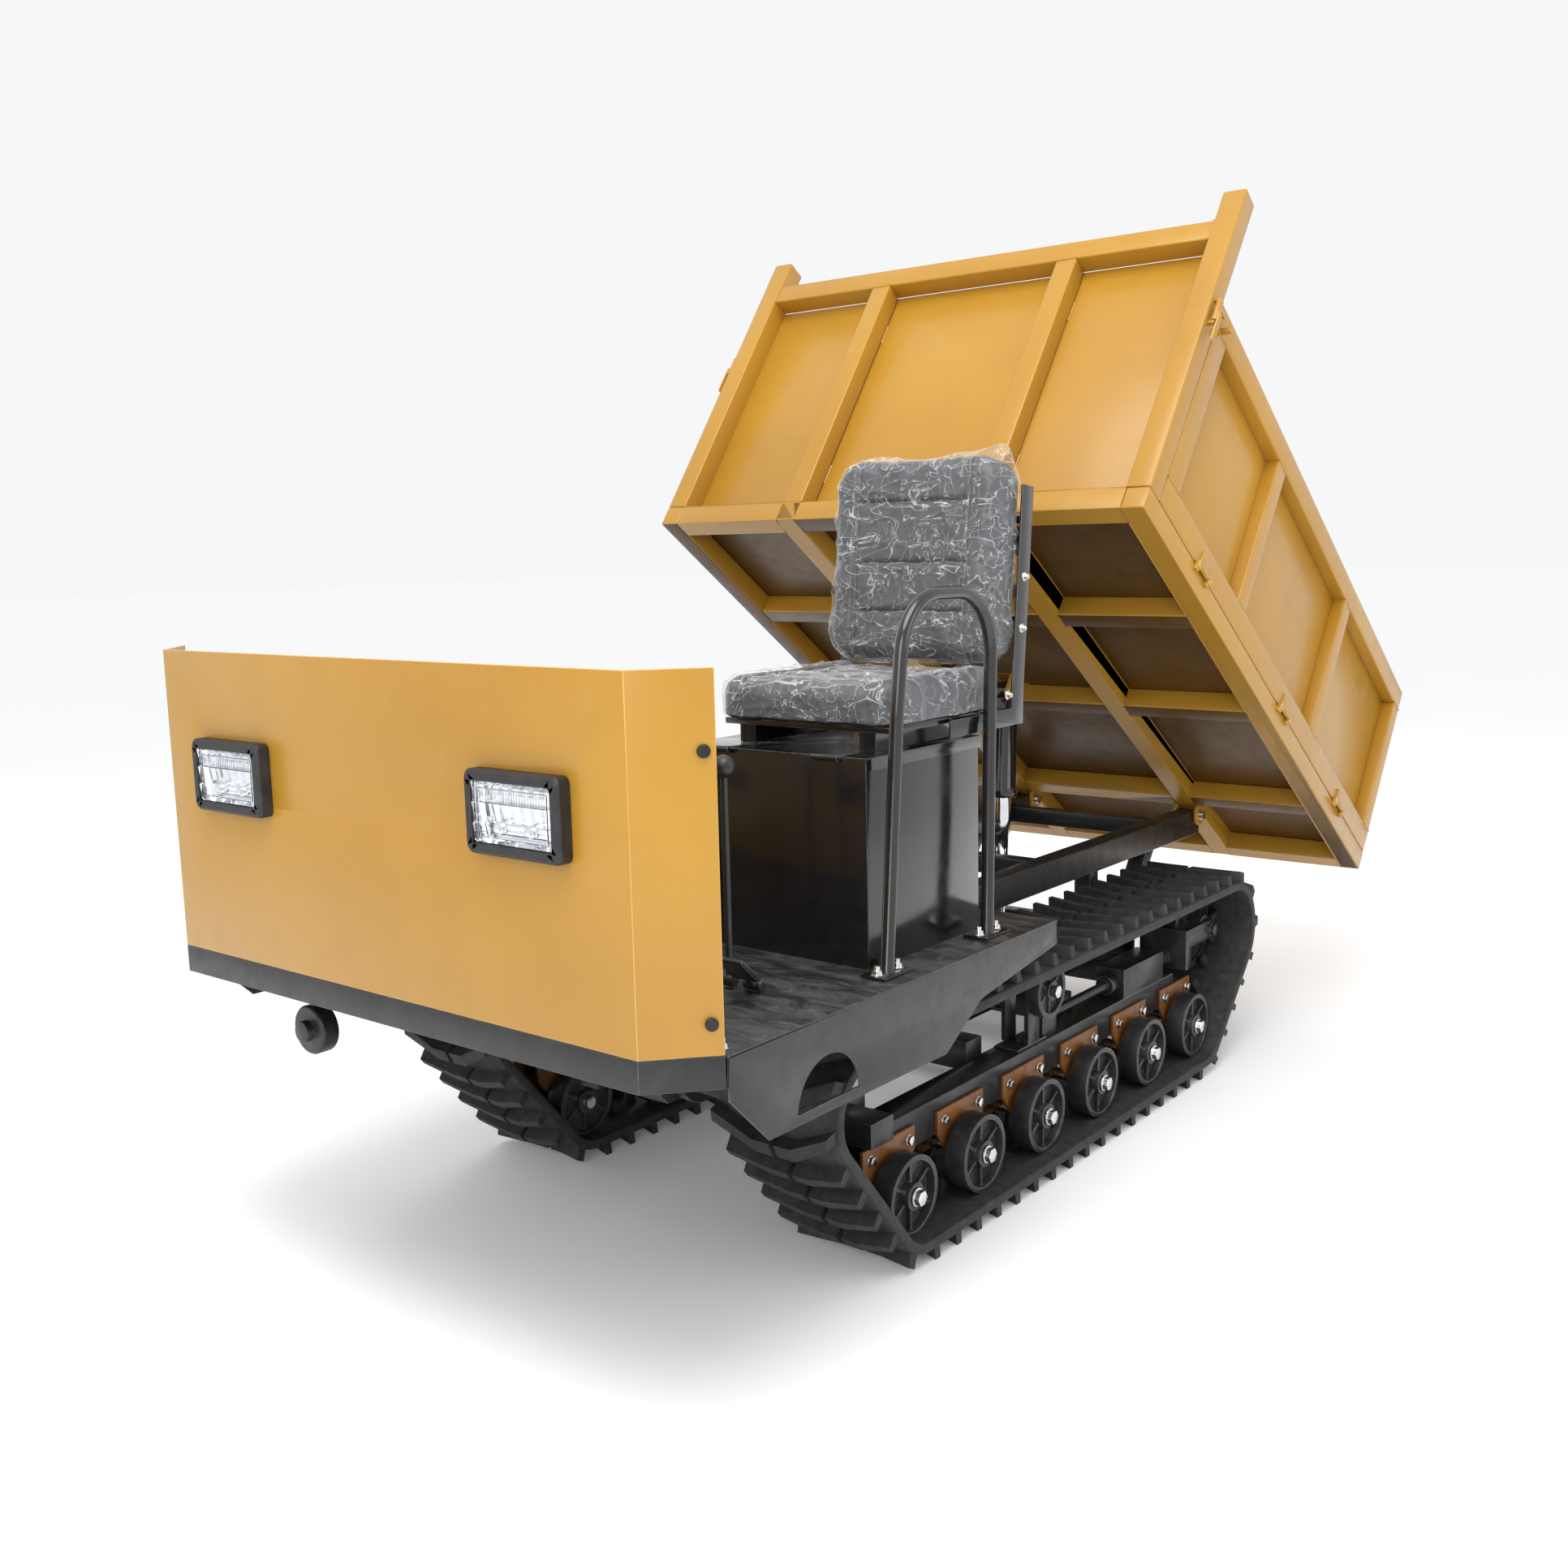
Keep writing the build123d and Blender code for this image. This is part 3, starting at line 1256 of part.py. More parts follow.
nodes = {
    "chassis_frame": chassis_frame(),
    "bed_subframe": bed_subframe(),
    "operator_deck": operator_deck(),
    "front_cowl": front_cowl(),
    "cowl_skirt": cowl_skirt(),
    "cowl_bolts": cowl_bolts(),
    "headlight_housings": at_lamps(lamp_shell()),
    "headlight_lenses": at_lamps(lamp_lens()),
    "horn": horn(),
    "engine_box": engine_box(),
    "engine": engine(),
    "hydraulic_tank": hydraulic_tank(),
    "transmission": transmission(),
    "grab_rail": grab_rail(),
    "zinc_fasteners": [*deck_fasteners(), *undercarriage_fasteners()],
    "roller_brackets": roller_brackets(),
    "seat_lid": seat_lid(),
    "seat_frame": seat_frame(),
    "seat_cushion": cushion(),
    "seat_back_cushion": back_cushion(),
    "steering_lever_left": lever(seat_centre + 60, 400.0, deck_top + 2, 1090.0, 0),
    "steering_lever_right": lever(seat_centre - 60, 400.0, deck_top + 2, 1090.0, 0),
    "tip_lever": lever(170.0, 560.0, deck_top + 2, 1040.0, 0),
    "foot_pedal": foot_pedal(),
    "cylinder_barrel": cylinder_barrel(),
    "cylinder_sleeve": cylinder_sleeve(),
    "cylinder_rod": cylinder_rod(),
}

one_side = {
    "track_beam": track_beam(),
    "rubber_track": rubber_track(),
    "sprocket": placed(sprocket(), sprocket_y, sprocket_z),
    "idler": placed(idler(), idler_y, idler_z),
    "idler_yoke": idler_yoke(),
    "carrier_roller": placed(carrier(), carrier_y, carrier_z),
}
for number, place in enumerate(roller_places(), 1):
    one_side[f"track_roller_{number}"] = placed(roller(), place, roller_z)
level_bed = {"side_gate": side_gate(), "side_latch": side_latch(), "rear_latch": rear_latch()}
for name, shape in level_bed.items():
    one_side[name] = tipped(shape)
for name, shape in one_side.items():
    pieces = shape if isinstance(shape, list) else [shape]
    nodes[name + "_left"] = pieces
    nodes[name + "_right"] = [mirrored(piece) for piece in pieces]
nodes["bed_frame"] = tipped([*bed_frame(), *tailgate_hinges()])
nodes["headboard"] = tipped(headboard())
nodes["tailgate"] = tipped(tailgate())

solids = {}
for name, shape in nodes.items():
    pieces = shape if isinstance(shape, list) else [shape]
    solids[name] = [solid for piece in pieces for solid in piece.solids()]
boxes = [solid.bounding_box() for group in solids.values() for solid in group]
front_end = min(box.min.Y for box in boxes)
rear_end = max(box.max.Y for box in boxes)
origin_y = (front_end + rear_end) / 2
origin_z = min(box.min.Z for box in boxes)
print("layout origin y", round(origin_y, 3), "z", round(origin_z, 3))
print("upper pin", upper_pin, "lower pin", lower_pin, "length", cylinder_long)

os.makedirs("parts", exist_ok=True)
for name, group in solids.items():
    moved = [solid.moved(Location((0, -origin_y, -origin_z))) for solid in group]
    whole = moved[0] if len(moved) == 1 else Compound(children=moved)
    whole.label = name
    export_step(whole, f"parts/{name}.step")
print(len(solids), "nodes written")
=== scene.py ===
import json
from math import asin, atan2, cos, exp, hypot, pi, radians, sin

import bpy
from mathutils import Matrix, Vector, noise


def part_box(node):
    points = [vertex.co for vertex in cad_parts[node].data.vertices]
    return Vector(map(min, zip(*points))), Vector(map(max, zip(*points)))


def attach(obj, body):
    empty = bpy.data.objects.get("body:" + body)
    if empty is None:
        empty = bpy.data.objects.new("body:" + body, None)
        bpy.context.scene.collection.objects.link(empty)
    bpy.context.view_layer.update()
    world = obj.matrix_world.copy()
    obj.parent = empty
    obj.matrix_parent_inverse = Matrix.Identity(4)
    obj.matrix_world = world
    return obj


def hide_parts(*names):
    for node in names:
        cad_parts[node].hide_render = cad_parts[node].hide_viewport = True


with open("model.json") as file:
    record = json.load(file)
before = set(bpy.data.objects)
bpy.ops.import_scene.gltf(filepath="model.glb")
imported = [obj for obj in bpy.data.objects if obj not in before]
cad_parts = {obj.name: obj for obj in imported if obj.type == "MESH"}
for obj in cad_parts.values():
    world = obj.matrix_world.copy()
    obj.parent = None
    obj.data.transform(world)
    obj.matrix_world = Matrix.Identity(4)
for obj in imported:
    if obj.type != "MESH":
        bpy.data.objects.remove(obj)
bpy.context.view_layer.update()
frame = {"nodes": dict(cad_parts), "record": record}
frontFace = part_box("front_cowl")[0].y    # the cowl's flat front: places along the machine start here
print("frame loaded")


# ---- selecting, joining and finishing meshes

def pick(piece):
    if bpy.context.mode != "OBJECT":
        bpy.ops.object.mode_set(mode="OBJECT")
    bpy.ops.object.select_all(action="DESELECT")
    piece.select_set(True)
    bpy.context.view_layer.objects.active = piece
    return piece


def edit(piece, mode="FACE"):
    pick(piece)
    bpy.ops.object.mode_set(mode="EDIT")
    bpy.ops.mesh.select_mode(type=mode)
    bpy.ops.mesh.select_all(action="SELECT")


def choose(piece, kind, test):
    # kind is VERT, EDGE or FACE; test is given a vertex, an edge's two ends or a face
    edit(piece, kind)
    bpy.ops.mesh.select_all(action="DESELECT")
    bpy.ops.object.mode_set(mode="OBJECT")
    data = piece.data
    if kind == "VERT":
        for vertex in data.vertices:
            vertex.select = test(vertex)
    elif kind == "EDGE":
        for edge in data.edges:
            edge.select = test(*(data.vertices[i].co for i in edge.vertices))
    else:
        for face in data.polygons:
            face.select = test(face)
    bpy.ops.object.mode_set(mode="EDIT")


def leaveEdit():
    bpy.ops.object.mode_set(mode="OBJECT")


def mergeClose(distance=0.00001):
    bpy.ops.mesh.remove_doubles(threshold=distance)


def pull(along):
    # lifts the chosen faces off along z, with new walls round them
    bpy.ops.mesh.extrude_region_move(TRANSFORM_OT_translate={"value": (0, 0, along)})


def placeInMesh(piece):
    pick(piece)
    bpy.ops.object.transform_apply(location=True, rotation=True, scale=True)
    return piece


def applyAll(piece):
    pick(piece)
    for modifier in list(piece.modifiers):
        bpy.ops.object.modifier_apply(modifier=modifier.name)
    return piece


def roundEdges(piece, width, segments=2, angle=30, edgeSlot=-1):
    bevel = piece.modifiers.new("roundEdges", "BEVEL")
    bevel.width = width
    bevel.segments = segments
    bevel.limit_method = "ANGLE"
    bevel.angle_limit = radians(angle)
    bevel.use_clamp_overlap = False
    bevel.material = edgeSlot
    return applyAll(piece)


def smoothByAngle(piece, angle=35):
    pick(piece)
    bpy.ops.object.shade_smooth_by_angle(angle=radians(angle))
    return piece


def outward(piece):
    edit(piece)
    mergeClose(0.00002)
    bpy.ops.mesh.normals_make_consistent(inside=False)
    leaveEdit()
    return piece


def joined(pieces, name):
    pick(pieces[0])
    for piece in pieces:
        piece.select_set(True)
    if len(pieces) > 1:
        bpy.ops.object.join()
    piece = bpy.context.view_layer.objects.active
    piece.name = name
    piece.data.name = name
    return piece


def linked(name, data):
    piece = bpy.data.objects.new(name, data)
    bpy.context.scene.collection.objects.link(piece)
    return piece


def duplicate(piece, name, shift=(0, 0, 0), flipX=False):
    copy = linked(name, piece.data.copy())
    copy.data.transform(Matrix.Translation(shift))
    if flipX:
        copy.data.transform(Matrix.Diagonal((-1, 1, 1, 1)))
        copy.data.flip_normals()
    return copy


def paintWith(piece, *names):
    piece.data.materials.clear()
    for name in names:
        piece.data.materials.append(finish[name])


def smooth(piece):
    pick(piece)
    bpy.ops.object.shade_smooth()


def finished(piece, body, slotName, *nodes):
    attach(piece, body)
    if nodes:
        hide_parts(*nodes)
    return piece


def cubeAt(low, high):
    middle = [(a + b) / 2 for a, b in zip(low, high)]
    bpy.ops.mesh.primitive_cube_add(size=1, location=middle)
    piece = bpy.context.object
    piece.scale = [abs(b - a) for a, b in zip(low, high)]
    return placeInMesh(piece)


def rodAt(centre, axis, radius, length, sides=24):
    bpy.ops.mesh.primitive_cylinder_add(vertices=sides, radius=radius, depth=length, location=centre)
    piece = bpy.context.object
    piece.rotation_euler = {"X": (0, pi / 2, 0), "Y": (pi / 2, 0, 0), "Z": (0, 0, 0)}[axis]
    return placeInMesh(piece)


# ---- finishes

class Finish:
    # a small builder for one node material
    def __init__(self, name):
        self.material = bpy.data.materials.new(name)
        self.material.use_nodes = True
        self.tree = self.material.node_tree
        self.shader = self.tree.nodes["Principled BSDF"]
        self.coords = self.add("ShaderNodeTexCoord").outputs["Object"]

    def add(self, kind, **values):
        node = self.tree.nodes.new(kind)
        for key, value in values.items():
            setattr(node, key, value)
        return node

    def join(self, source, target):
        self.tree.links.new(source, target)

    def stretched(self, scale, turn=(0, 0, 0)):
        mapping = self.add("ShaderNodeMapping")
        mapping.inputs["Scale"].default_value = scale
        mapping.inputs["Rotation"].default_value = turn
        self.join(self.coords, mapping.inputs["Vector"])
        return mapping.outputs["Vector"]

    def cloud(self, scale, detail=4.0, rough=0.55, warp=0.0, vector=None):
        node = self.add("ShaderNodeTexNoise")
        node.inputs["Scale"].default_value = scale
        node.inputs["Detail"].default_value = detail
        node.inputs["Roughness"].default_value = rough
        node.inputs["Distortion"].default_value = warp
        self.join(vector or self.coords, node.inputs["Vector"])
        return node.outputs["Fac"]

    def spread(self, source, low, high, start, end):
        # maps low..high of the source onto start..end
        node = self.add("ShaderNodeMapRange")
        for key, value in zip(("From Min", "From Max", "To Min", "To Max"), (low, high, start, end)):
            node.inputs[key].default_value = value
        self.join(source, node.inputs["Value"])
        return node.outputs["Result"]

    def math(self, kind, first, second):
        node = self.add("ShaderNodeMath", operation=kind)
        for socket, value in zip(node.inputs, (first, second)):
            if isinstance(value, (int, float)):
                socket.default_value = value
            else:
                self.join(value, socket)
        return node.outputs["Value"]

    def blend(self, share, first, second):
        node = self.add("ShaderNodeMix", data_type="RGBA")
        colours = [s for s in node.inputs if s.type == "RGBA"]
        for socket, value in zip(colours, (first, second)):
            if isinstance(value, tuple):
                socket.default_value = (*value, 1)
            else:
                self.join(value, socket)
        factor = [s for s in node.inputs if s.type == "VALUE"][0]
        self.join(share, factor)
        return [s for s in node.outputs if s.type == "RGBA"][0]

    def relief(self, height, strength, distance, under=None):
        node = self.add("ShaderNodeBump")
        node.inputs["Strength"].default_value = strength
        node.inputs["Distance"].default_value = distance
        self.join(height, node.inputs["Height"])
        if under:
            self.join(under, node.inputs["Normal"])
        return node.outputs["Normal"]

    def set(self, **values):
        for key, value in values.items():
            self.shader.inputs[key.replace("_", " ")].default_value = value

    def use(self, **sources):
        for key, source in sources.items():
            self.join(source, self.shader.inputs[key.replace("_", " ")])


def sprayedPaint(name, look):
    # enamel over sheet steel: slow colour drift, dust, orange peel and a faint panel wave
    made = Finish(name)
    drift = made.spread(made.cloud(look["driftScale"], 3), 0.35, 0.65, 0, 1)
    colour = made.blend(drift, look["colour"], look["shade"])
    grime = made.cloud(look["dustScale"], 8, 0.7, 0.4)
    grain = made.spread(grime, look["dustFrom"], look["dustTo"], 0, look["dustMost"])
    colour = made.blend(grain, colour, look["dust"])
    peel = made.relief(made.cloud(650, 2), look["peel"], 0.0006)
    wave = made.relief(made.cloud(4.5, 2), look["wave"], 0.004, peel)
    scuff = made.math("ADD", made.spread(made.cloud(22, 6, 0.65), 0.4, 0.7, *look["rough"]),
                      made.math("MULTIPLY", grain, 0.3))
    made.use(Base_Color=colour, Roughness=scuff, Normal=wave)
    made.set(Coat_Weight=look["coat"], Coat_Roughness=0.16, IOR=1.5)
    return made.material


paints = {
    "yellowPaint": dict(colour=(0.46, 0.24, 0.023), shade=(0.40, 0.20, 0.018), dust=(0.52, 0.34, 0.12),
        driftScale=1.3, dustScale=9, dustFrom=0.56, dustTo=0.8, dustMost=0.16,
        peel=0.10, wave=0.25, rough=(0.3, 0.42), coat=0.25),
    # much darker yellow for faces turned down: painted shade, with dust specks
    "yellowPaintedShade": dict(colour=(0.10, 0.045, 0.0045), shade=(0.065, 0.029, 0.003), dust=(0.09, 0.06, 0.02),
        driftScale=2.4, dustScale=12, dustFrom=0.5, dustTo=0.75, dustMost=0.4,
        peel=0.12, wave=0.25, rough=(0.36, 0.5), coat=0.1),
    # paler yellow for bevelled edges: a painted highlight, with some wear
    "yellowEdgeHighlight": dict(colour=(0.64, 0.37, 0.075), shade=(0.55, 0.3, 0.05), dust=(0.7, 0.52, 0.26),
        driftScale=3.0, dustScale=30, dustFrom=0.5, dustTo=0.75, dustMost=0.3,
        peel=0.08, wave=0.1, rough=(0.26, 0.4), coat=0.3),
    "blackPaint": dict(colour=(0.011, 0.011, 0.012), shade=(0.016, 0.016, 0.017), dust=(0.07, 0.068, 0.064),
        driftScale=2.0, dustScale=14, dustFrom=0.52, dustTo=0.78, dustMost=0.28,
        peel=0.12, wave=0.2, rough=(0.32, 0.5), coat=0.12),
    # paler black for bevelled edges: a painted highlight, with some wear
    "blackEdgeHighlight": dict(colour=(0.05, 0.05, 0.052), shade=(0.03, 0.03, 0.031), dust=(0.2, 0.2, 0.195),
        driftScale=5.0, dustScale=40, dustFrom=0.5, dustTo=0.7, dustMost=0.55,
        peel=0.1, wave=0.1, rough=(0.25, 0.4), coat=0.2),
    "glossBlack": dict(colour=(0.006, 0.006, 0.0065), shade=(0.009, 0.009, 0.01), dust=(0.04, 0.04, 0.04),
        driftScale=2.0, dustScale=18, dustFrom=0.56, dustTo=0.85, dustMost=0.2,
        peel=0.06, wave=0.35, rough=(0.12, 0.24), coat=0.6),
    "primerOrange": dict(colour=(0.23, 0.085, 0.012), shade=(0.15, 0.05, 0.008), dust=(0.05, 0.03, 0.015),
        driftScale=12.0, dustScale=26, dustFrom=0.5, dustTo=0.72, dustMost=0.5,
        peel=0.3, wave=0.2, rough=(0.4, 0.6), coat=0.1),
    "castBlack": dict(colour=(0.014, 0.014, 0.015), shade=(0.022, 0.022, 0.022), dust=(0.08, 0.078, 0.072),
        driftScale=9.0, dustScale=24, dustFrom=0.5, dustTo=0.75, dustMost=0.3,
        peel=0.5, wave=0.2, rough=(0.38, 0.55), coat=0.1),
}
finish = {name: sprayedPaint(name, look) for name, look in paints.items()}


def dustyDeck():
    # walked-on black deck: smeared pale dust over satin paint
    made = Finish("dustyDeck")
    smear = made.cloud(9, 9, 0.72, 0.9, made.stretched((1.0, 2.6, 1.0), (0, 0, 0.35)))
    speck = made.cloud(160, 4, 0.6)
    dust = made.math("MULTIPLY", made.spread(smear, 0.42, 0.72, 0, 1), made.spread(speck, 0.3, 0.7, 0.45, 1))
    colour = made.blend(dust, (0.014, 0.014, 0.0145), (0.115, 0.112, 0.105))
    made.use(Base_Color=colour, Roughness=made.spread(dust, 0, 1, 0.36, 0.72),
             Normal=made.relief(smear, 0.18, 0.0015))
    return made.material


def trackRubber(name, base, dirtAndHighlightTone, amount):
    made = Finish(name)
    # the second tone is dirt on the belt, and on the lugs' top edges a painted highlight
    dirtAndHighlightMottle = made.cloud(34, 8, 0.7, 0.3)
    fine = made.cloud(420, 3)
    colour = made.blend(made.spread(dirtAndHighlightMottle, 0.42, 0.75, 0, amount), base, dirtAndHighlightTone)
    made.use(Base_Color=colour, Roughness=made.spread(fine, 0.3, 0.7, 0.58, 0.8),
             Normal=made.relief(fine, 0.35, 0.0009, made.relief(dirtAndHighlightMottle, 0.3, 0.003)))
    return made.material


def scuffedLug():
    # ground face of a lug, paler grey with fine moulded ribs: rubbing wear and a painted highlight
    made = Finish("scuffedLug")
    ribs = made.add("ShaderNodeTexWave", bands_direction="X")
    ribs.inputs["Scale"].default_value = 62
    ribs.inputs["Distortion"].default_value = 1.2
    made.join(made.coords, ribs.inputs["Vector"])
    rubAndHighlight = made.cloud(70, 6, 0.7)
    share = made.math("MULTIPLY", made.spread(ribs.outputs["Fac"], 0, 1, 0.55, 1),
                      made.spread(rubAndHighlight, 0.3, 0.65, 0.35, 1))
    made.use(Base_Color=made.blend(share, (0.02, 0.02, 0.02), (0.16, 0.155, 0.145)),
             Roughness=made.spread(rubAndHighlight, 0.3, 0.7, 0.5, 0.75),
             Normal=made.relief(ribs.outputs["Fac"], 0.25, 0.0012))
    return made.material


def brightMetal(name, colour, dull, rough, brush):
    made = Finish(name)
    spots = made.cloud(90, 6, 0.7)
    lines = made.cloud(260, 3, 0.6, 0.0, made.stretched(brush))
    made.use(Base_Color=made.blend(made.spread(spots, 0.45, 0.75, 0, 0.6), colour, dull),
             Roughness=made.spread(lines, 0.3, 0.7, *rough),
             Normal=made.relief(lines, 0.06, 0.0004))
    made.set(Metallic=1.0)
    return made.material


def grainedPlastic(name, colour, rough):
    made = Finish(name)
    grain = made.add("ShaderNodeTexVoronoi")
    grain.inputs["Scale"].default_value = 700
    made.join(made.coords, grain.inputs["Vector"])
    haze = made.cloud(25, 5)
    pale = tuple(min(1, c * 2.2 + 0.01) for c in colour)
    made.use(Base_Color=made.blend(made.spread(haze, 0.45, 0.75, 0, 0.6), colour, pale),
             Roughness=made.spread(haze, 0.35, 0.7, *rough),
             Normal=made.relief(grain.outputs["Distance"], 0.18, 0.0004))
    return made.material


def seatVinyl():
    made = Finish("seatVinyl")
    grain = made.add("ShaderNodeTexVoronoi", feature="DISTANCE_TO_EDGE")
    grain.inputs["Scale"].default_value = 420
    made.join(made.coords, grain.inputs["Vector"])
    mottle = made.cloud(14, 5)
    creases = made.cloud(38, 7, 0.65, 0.8)
    colour = made.blend(made.spread(mottle, 0.35, 0.7, 0, 1), (0.022, 0.024, 0.027), (0.045, 0.049, 0.055))
    made.use(Base_Color=colour, Roughness=made.spread(mottle, 0.3, 0.7, 0.36, 0.5),
             Normal=made.relief(grain.outputs["Distance"], 0.3, 0.0005, made.relief(creases, 0.25, 0.003)))
    made.set(Coat_Weight=0.15, Coat_Roughness=0.3)
    return made.material


def clearFilm():
    # crinkled polythene: nearly clear on the flats; along the creases it turns milky, partly as stress
    # whitening and partly as a painted highlight, and at glancing angles it takes a painted sheen
    made = Finish("clearFilm")
    long = made.cloud(11, 2.5, 0.5, 1.1, made.stretched((1.0, 1.0, 2.2), (0.3, 0.5, 0.4)))
    cross = made.cloud(17, 2.5, 0.5, 0.8, made.stretched((2.0, 1.0, 1.0), (0.2, 0.9, 0.1)))
    ridge, crossRidge = (
        made.math("SUBTRACT", 0.5, made.math("ABSOLUTE", made.math("SUBTRACT", cloud, 0.5), 0))
        for cloud in (long, cross)
    )
    # opaque white along the ridges: stress whitening and a painted highlight on the creases
    creaseWhiteAndHighlight = made.math("MAXIMUM", made.spread(ridge, 0.488, 0.5, 0, 0.42),
                     made.spread(crossRidge, 0.49, 0.5, 0, 0.34))
    # whiter where the film is seen edge-on: a painted sheen standing in for reflection
    rim = made.add("ShaderNodeLayerWeight")
    rim.inputs["Blend"].default_value = 0.35
    paintedRimSheen = made.spread(rim.outputs["Facing"], 0.35, 1.0, 0, 0.4)
    alpha = made.math("ADD", made.math("ADD", 0.07, creaseWhiteAndHighlight), paintedRimSheen)
    made.use(Alpha=made.math("MINIMUM", alpha, 0.9), Roughness=made.spread(cross, 0.3, 0.7, 0.08, 0.2),
             Normal=made.relief(ridge, 0.8, 0.012, made.relief(crossRidge, 0.7, 0.008)))
    made.set(Base_Color=(0.86, 0.88, 0.9, 1), Coat_Weight=0.6, Coat_Roughness=0.08, IOR=1.5)
    return made.material


def lensPlastic():
    made = Finish("lensPlastic")
    smear = made.cloud(18, 5)
    made.use(Roughness=made.spread(smear, 0.4, 0.7, 0.02, 0.09),
             Normal=made.relief(made.cloud(120, 2), 0.05, 0.0005))
    made.set(Base_Color=(0.97, 0.98, 1.0, 1), Transmission_Weight=1.0, IOR=1.42)
    return made.material


finish.update(
    dustyDeck=dustyDeck(),
    trackRubber=trackRubber("trackRubber", (0.012, 0.012, 0.0125), (0.05, 0.049, 0.046), 0.7),
    # pale rubber for the lugs' top edges: a painted highlight
    lugEdge=trackRubber("lugEdge", (0.10, 0.10, 0.096), (0.34, 0.335, 0.32), 1.0),
    scuffedLug=scuffedLug(),
    zinc=brightMetal("zinc", (0.74, 0.74, 0.72), (0.52, 0.5, 0.44), (0.16, 0.34), (1, 1, 1)),
    chrome=brightMetal("chrome", (0.82, 0.83, 0.85), (0.7, 0.7, 0.72), (0.04, 0.12), (6, 1, 1)),
    blackBolt=brightMetal("blackBolt", (0.05, 0.05, 0.052), (0.03, 0.03, 0.03), (0.3, 0.45), (1, 1, 1)),
    mirrorShell=brightMetal("mirrorShell", (0.84, 0.85, 0.87), (0.75, 0.76, 0.79), (0.06, 0.14), (1, 1, 1)),
    blackPlastic=grainedPlastic("blackPlastic", (0.014, 0.014, 0.015), (0.42, 0.6)),
    seatVinyl=seatVinyl(),
    clearFilm=clearFilm(),
    lensPlastic=lensPlastic(),
)
print("finishes made:", len(finish))


# ---- CAD pieces with their sharp edges broken

def copyOf(node):
    # a merged copy of a CAD mesh, left open for editing
    piece = linked(node + "_made", frame["nodes"][node].data.copy())
    edit(piece)
    bpy.ops.mesh.customdata_custom_splitnormals_clear()
    mergeClose()
    return piece


def brokenEdges(node, look, width):
    # a copy of the CAD mesh with a small bevel along every hard edge; on the yellow and black looks the bevel
    # takes a paler finish, a painted highlight with some wear
    slotName, face, edgeFace = looks[look]
    piece = copyOf(node)
    if node == "front_cowl":    # its touching panels become one folded sheet
        bpy.ops.mesh.select_all(action="DESELECT")
        bpy.ops.mesh.select_interior_faces()
        bpy.ops.mesh.delete(type="FACE")
        bpy.ops.mesh.select_all(action="SELECT")
    bpy.ops.mesh.dissolve_limited(angle_limit=radians(0.5))
    leaveEdit()
    paintWith(piece, face, edgeFace)
    for polygon in piece.data.polygons:
        polygon.material_index = 0
    roundEdges(piece, width, 2, 32, 1)
    smoothByAngle(piece)
    return finished(piece, bodyOf[node], slotName, node)


bodyOf = {n: b for b, members in frame["record"]["behaviour"]["bodies"].items() for n in members}
sides = ("left", "right")

# slot, face finish, edge finish
looks = {
    # for the painted and iron looks the edge finish is paler: a painted highlight
    "yellow": ("yellow_paint", "yellowPaint", "yellowEdgeHighlight"),
    "black": ("black_paint", "blackPaint", "blackEdgeHighlight"),
    "plain": ("black_paint", "blackPaint", "blackPaint"),
    "gloss": ("gloss_black", "glossBlack", "blackEdgeHighlight"),
    "rail": ("gloss_black", "glossBlack", "glossBlack"),
    "iron": ("iron_black", "castBlack", "blackEdgeHighlight"),
    "roller": ("roller_black", "castBlack", "blackEdgeHighlight"),
    "primer": ("orange_primer", "primerOrange", "primerOrange"),
    "zinc": ("zinc_plate", "zinc", "zinc"),
    "chrome": ("chrome_rod", "chrome", "chrome"),
    "bolt": ("bolt_black", "blackBolt", "blackBolt"),
}
# node: look, width of its broken edges
brokenNodes = {
    "front_cowl": ("yellow", 0.0011),
    "cowl_skirt": ("black", 0.0011),
    "cowl_bolts": ("bolt", 0.0008),
    "horn": ("black", 0.001),
    "engine_box": ("gloss", 0.0012),
    "engine": ("iron", 0.002),
    "hydraulic_tank": ("black", 0.003),
    "transmission": ("iron", 0.003),
    "chassis_frame": ("black", 0.0022),
    "bed_subframe": ("black", 0.0026),
    "grab_rail": ("rail", 0.001),
    "zinc_fasteners": ("zinc", 0.0011),
    "roller_brackets": ("primer", 0.0012),
    "seat_lid": ("gloss", 0.0011),
    "seat_frame": ("gloss", 0.0014),
    "foot_pedal": ("black", 0.0015),
    "cylinder_barrel": ("gloss", 0.0015),
    "cylinder_sleeve": ("chrome", 0.001),
    "cylinder_rod": ("chrome", 0.001),
    "tip_lever": ("plain", 0.0008),
}
pairedNodes = {
    "track_beam": ("black", 0.0026),
    "idler_yoke": ("black", 0.002),
    "idler": ("iron", 0.002),
    "sprocket": ("iron", 0.002),
    "carrier_roller": ("roller", 0.0016),
    "steering_lever": ("plain", 0.0008),
    "side_latch": ("yellow", 0.0012),
    "rear_latch": ("yellow", 0.0012),
}
for number in range(1, 7):
    pairedNodes[f"track_roller_{number}"] = ("roller", 0.0018)
for stem, row in pairedNodes.items():
    for side in sides:
        brokenNodes[f"{stem}_{side}"] = row
for node, row in brokenNodes.items():
    brokenEdges(node, *row)
print("broken-edged pieces:", len(brokenNodes))


# ---- operator's deck: dusty on top, clean on its side plates

def deck():
    piece = brokenEdges("operator_deck", "black", 0.0012)
    piece.data.materials.append(finish["dustyDeck"])
    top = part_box("operator_deck")[1].z
    for polygon in piece.data.polygons:
        if polygon.normal.z > 0.9 and polygon.center.z > top - 0.001:
            polygon.material_index = 2


deck()


# ---- rubber tracks: one pitch modelled flat, repeated, then wrapped round the wheels

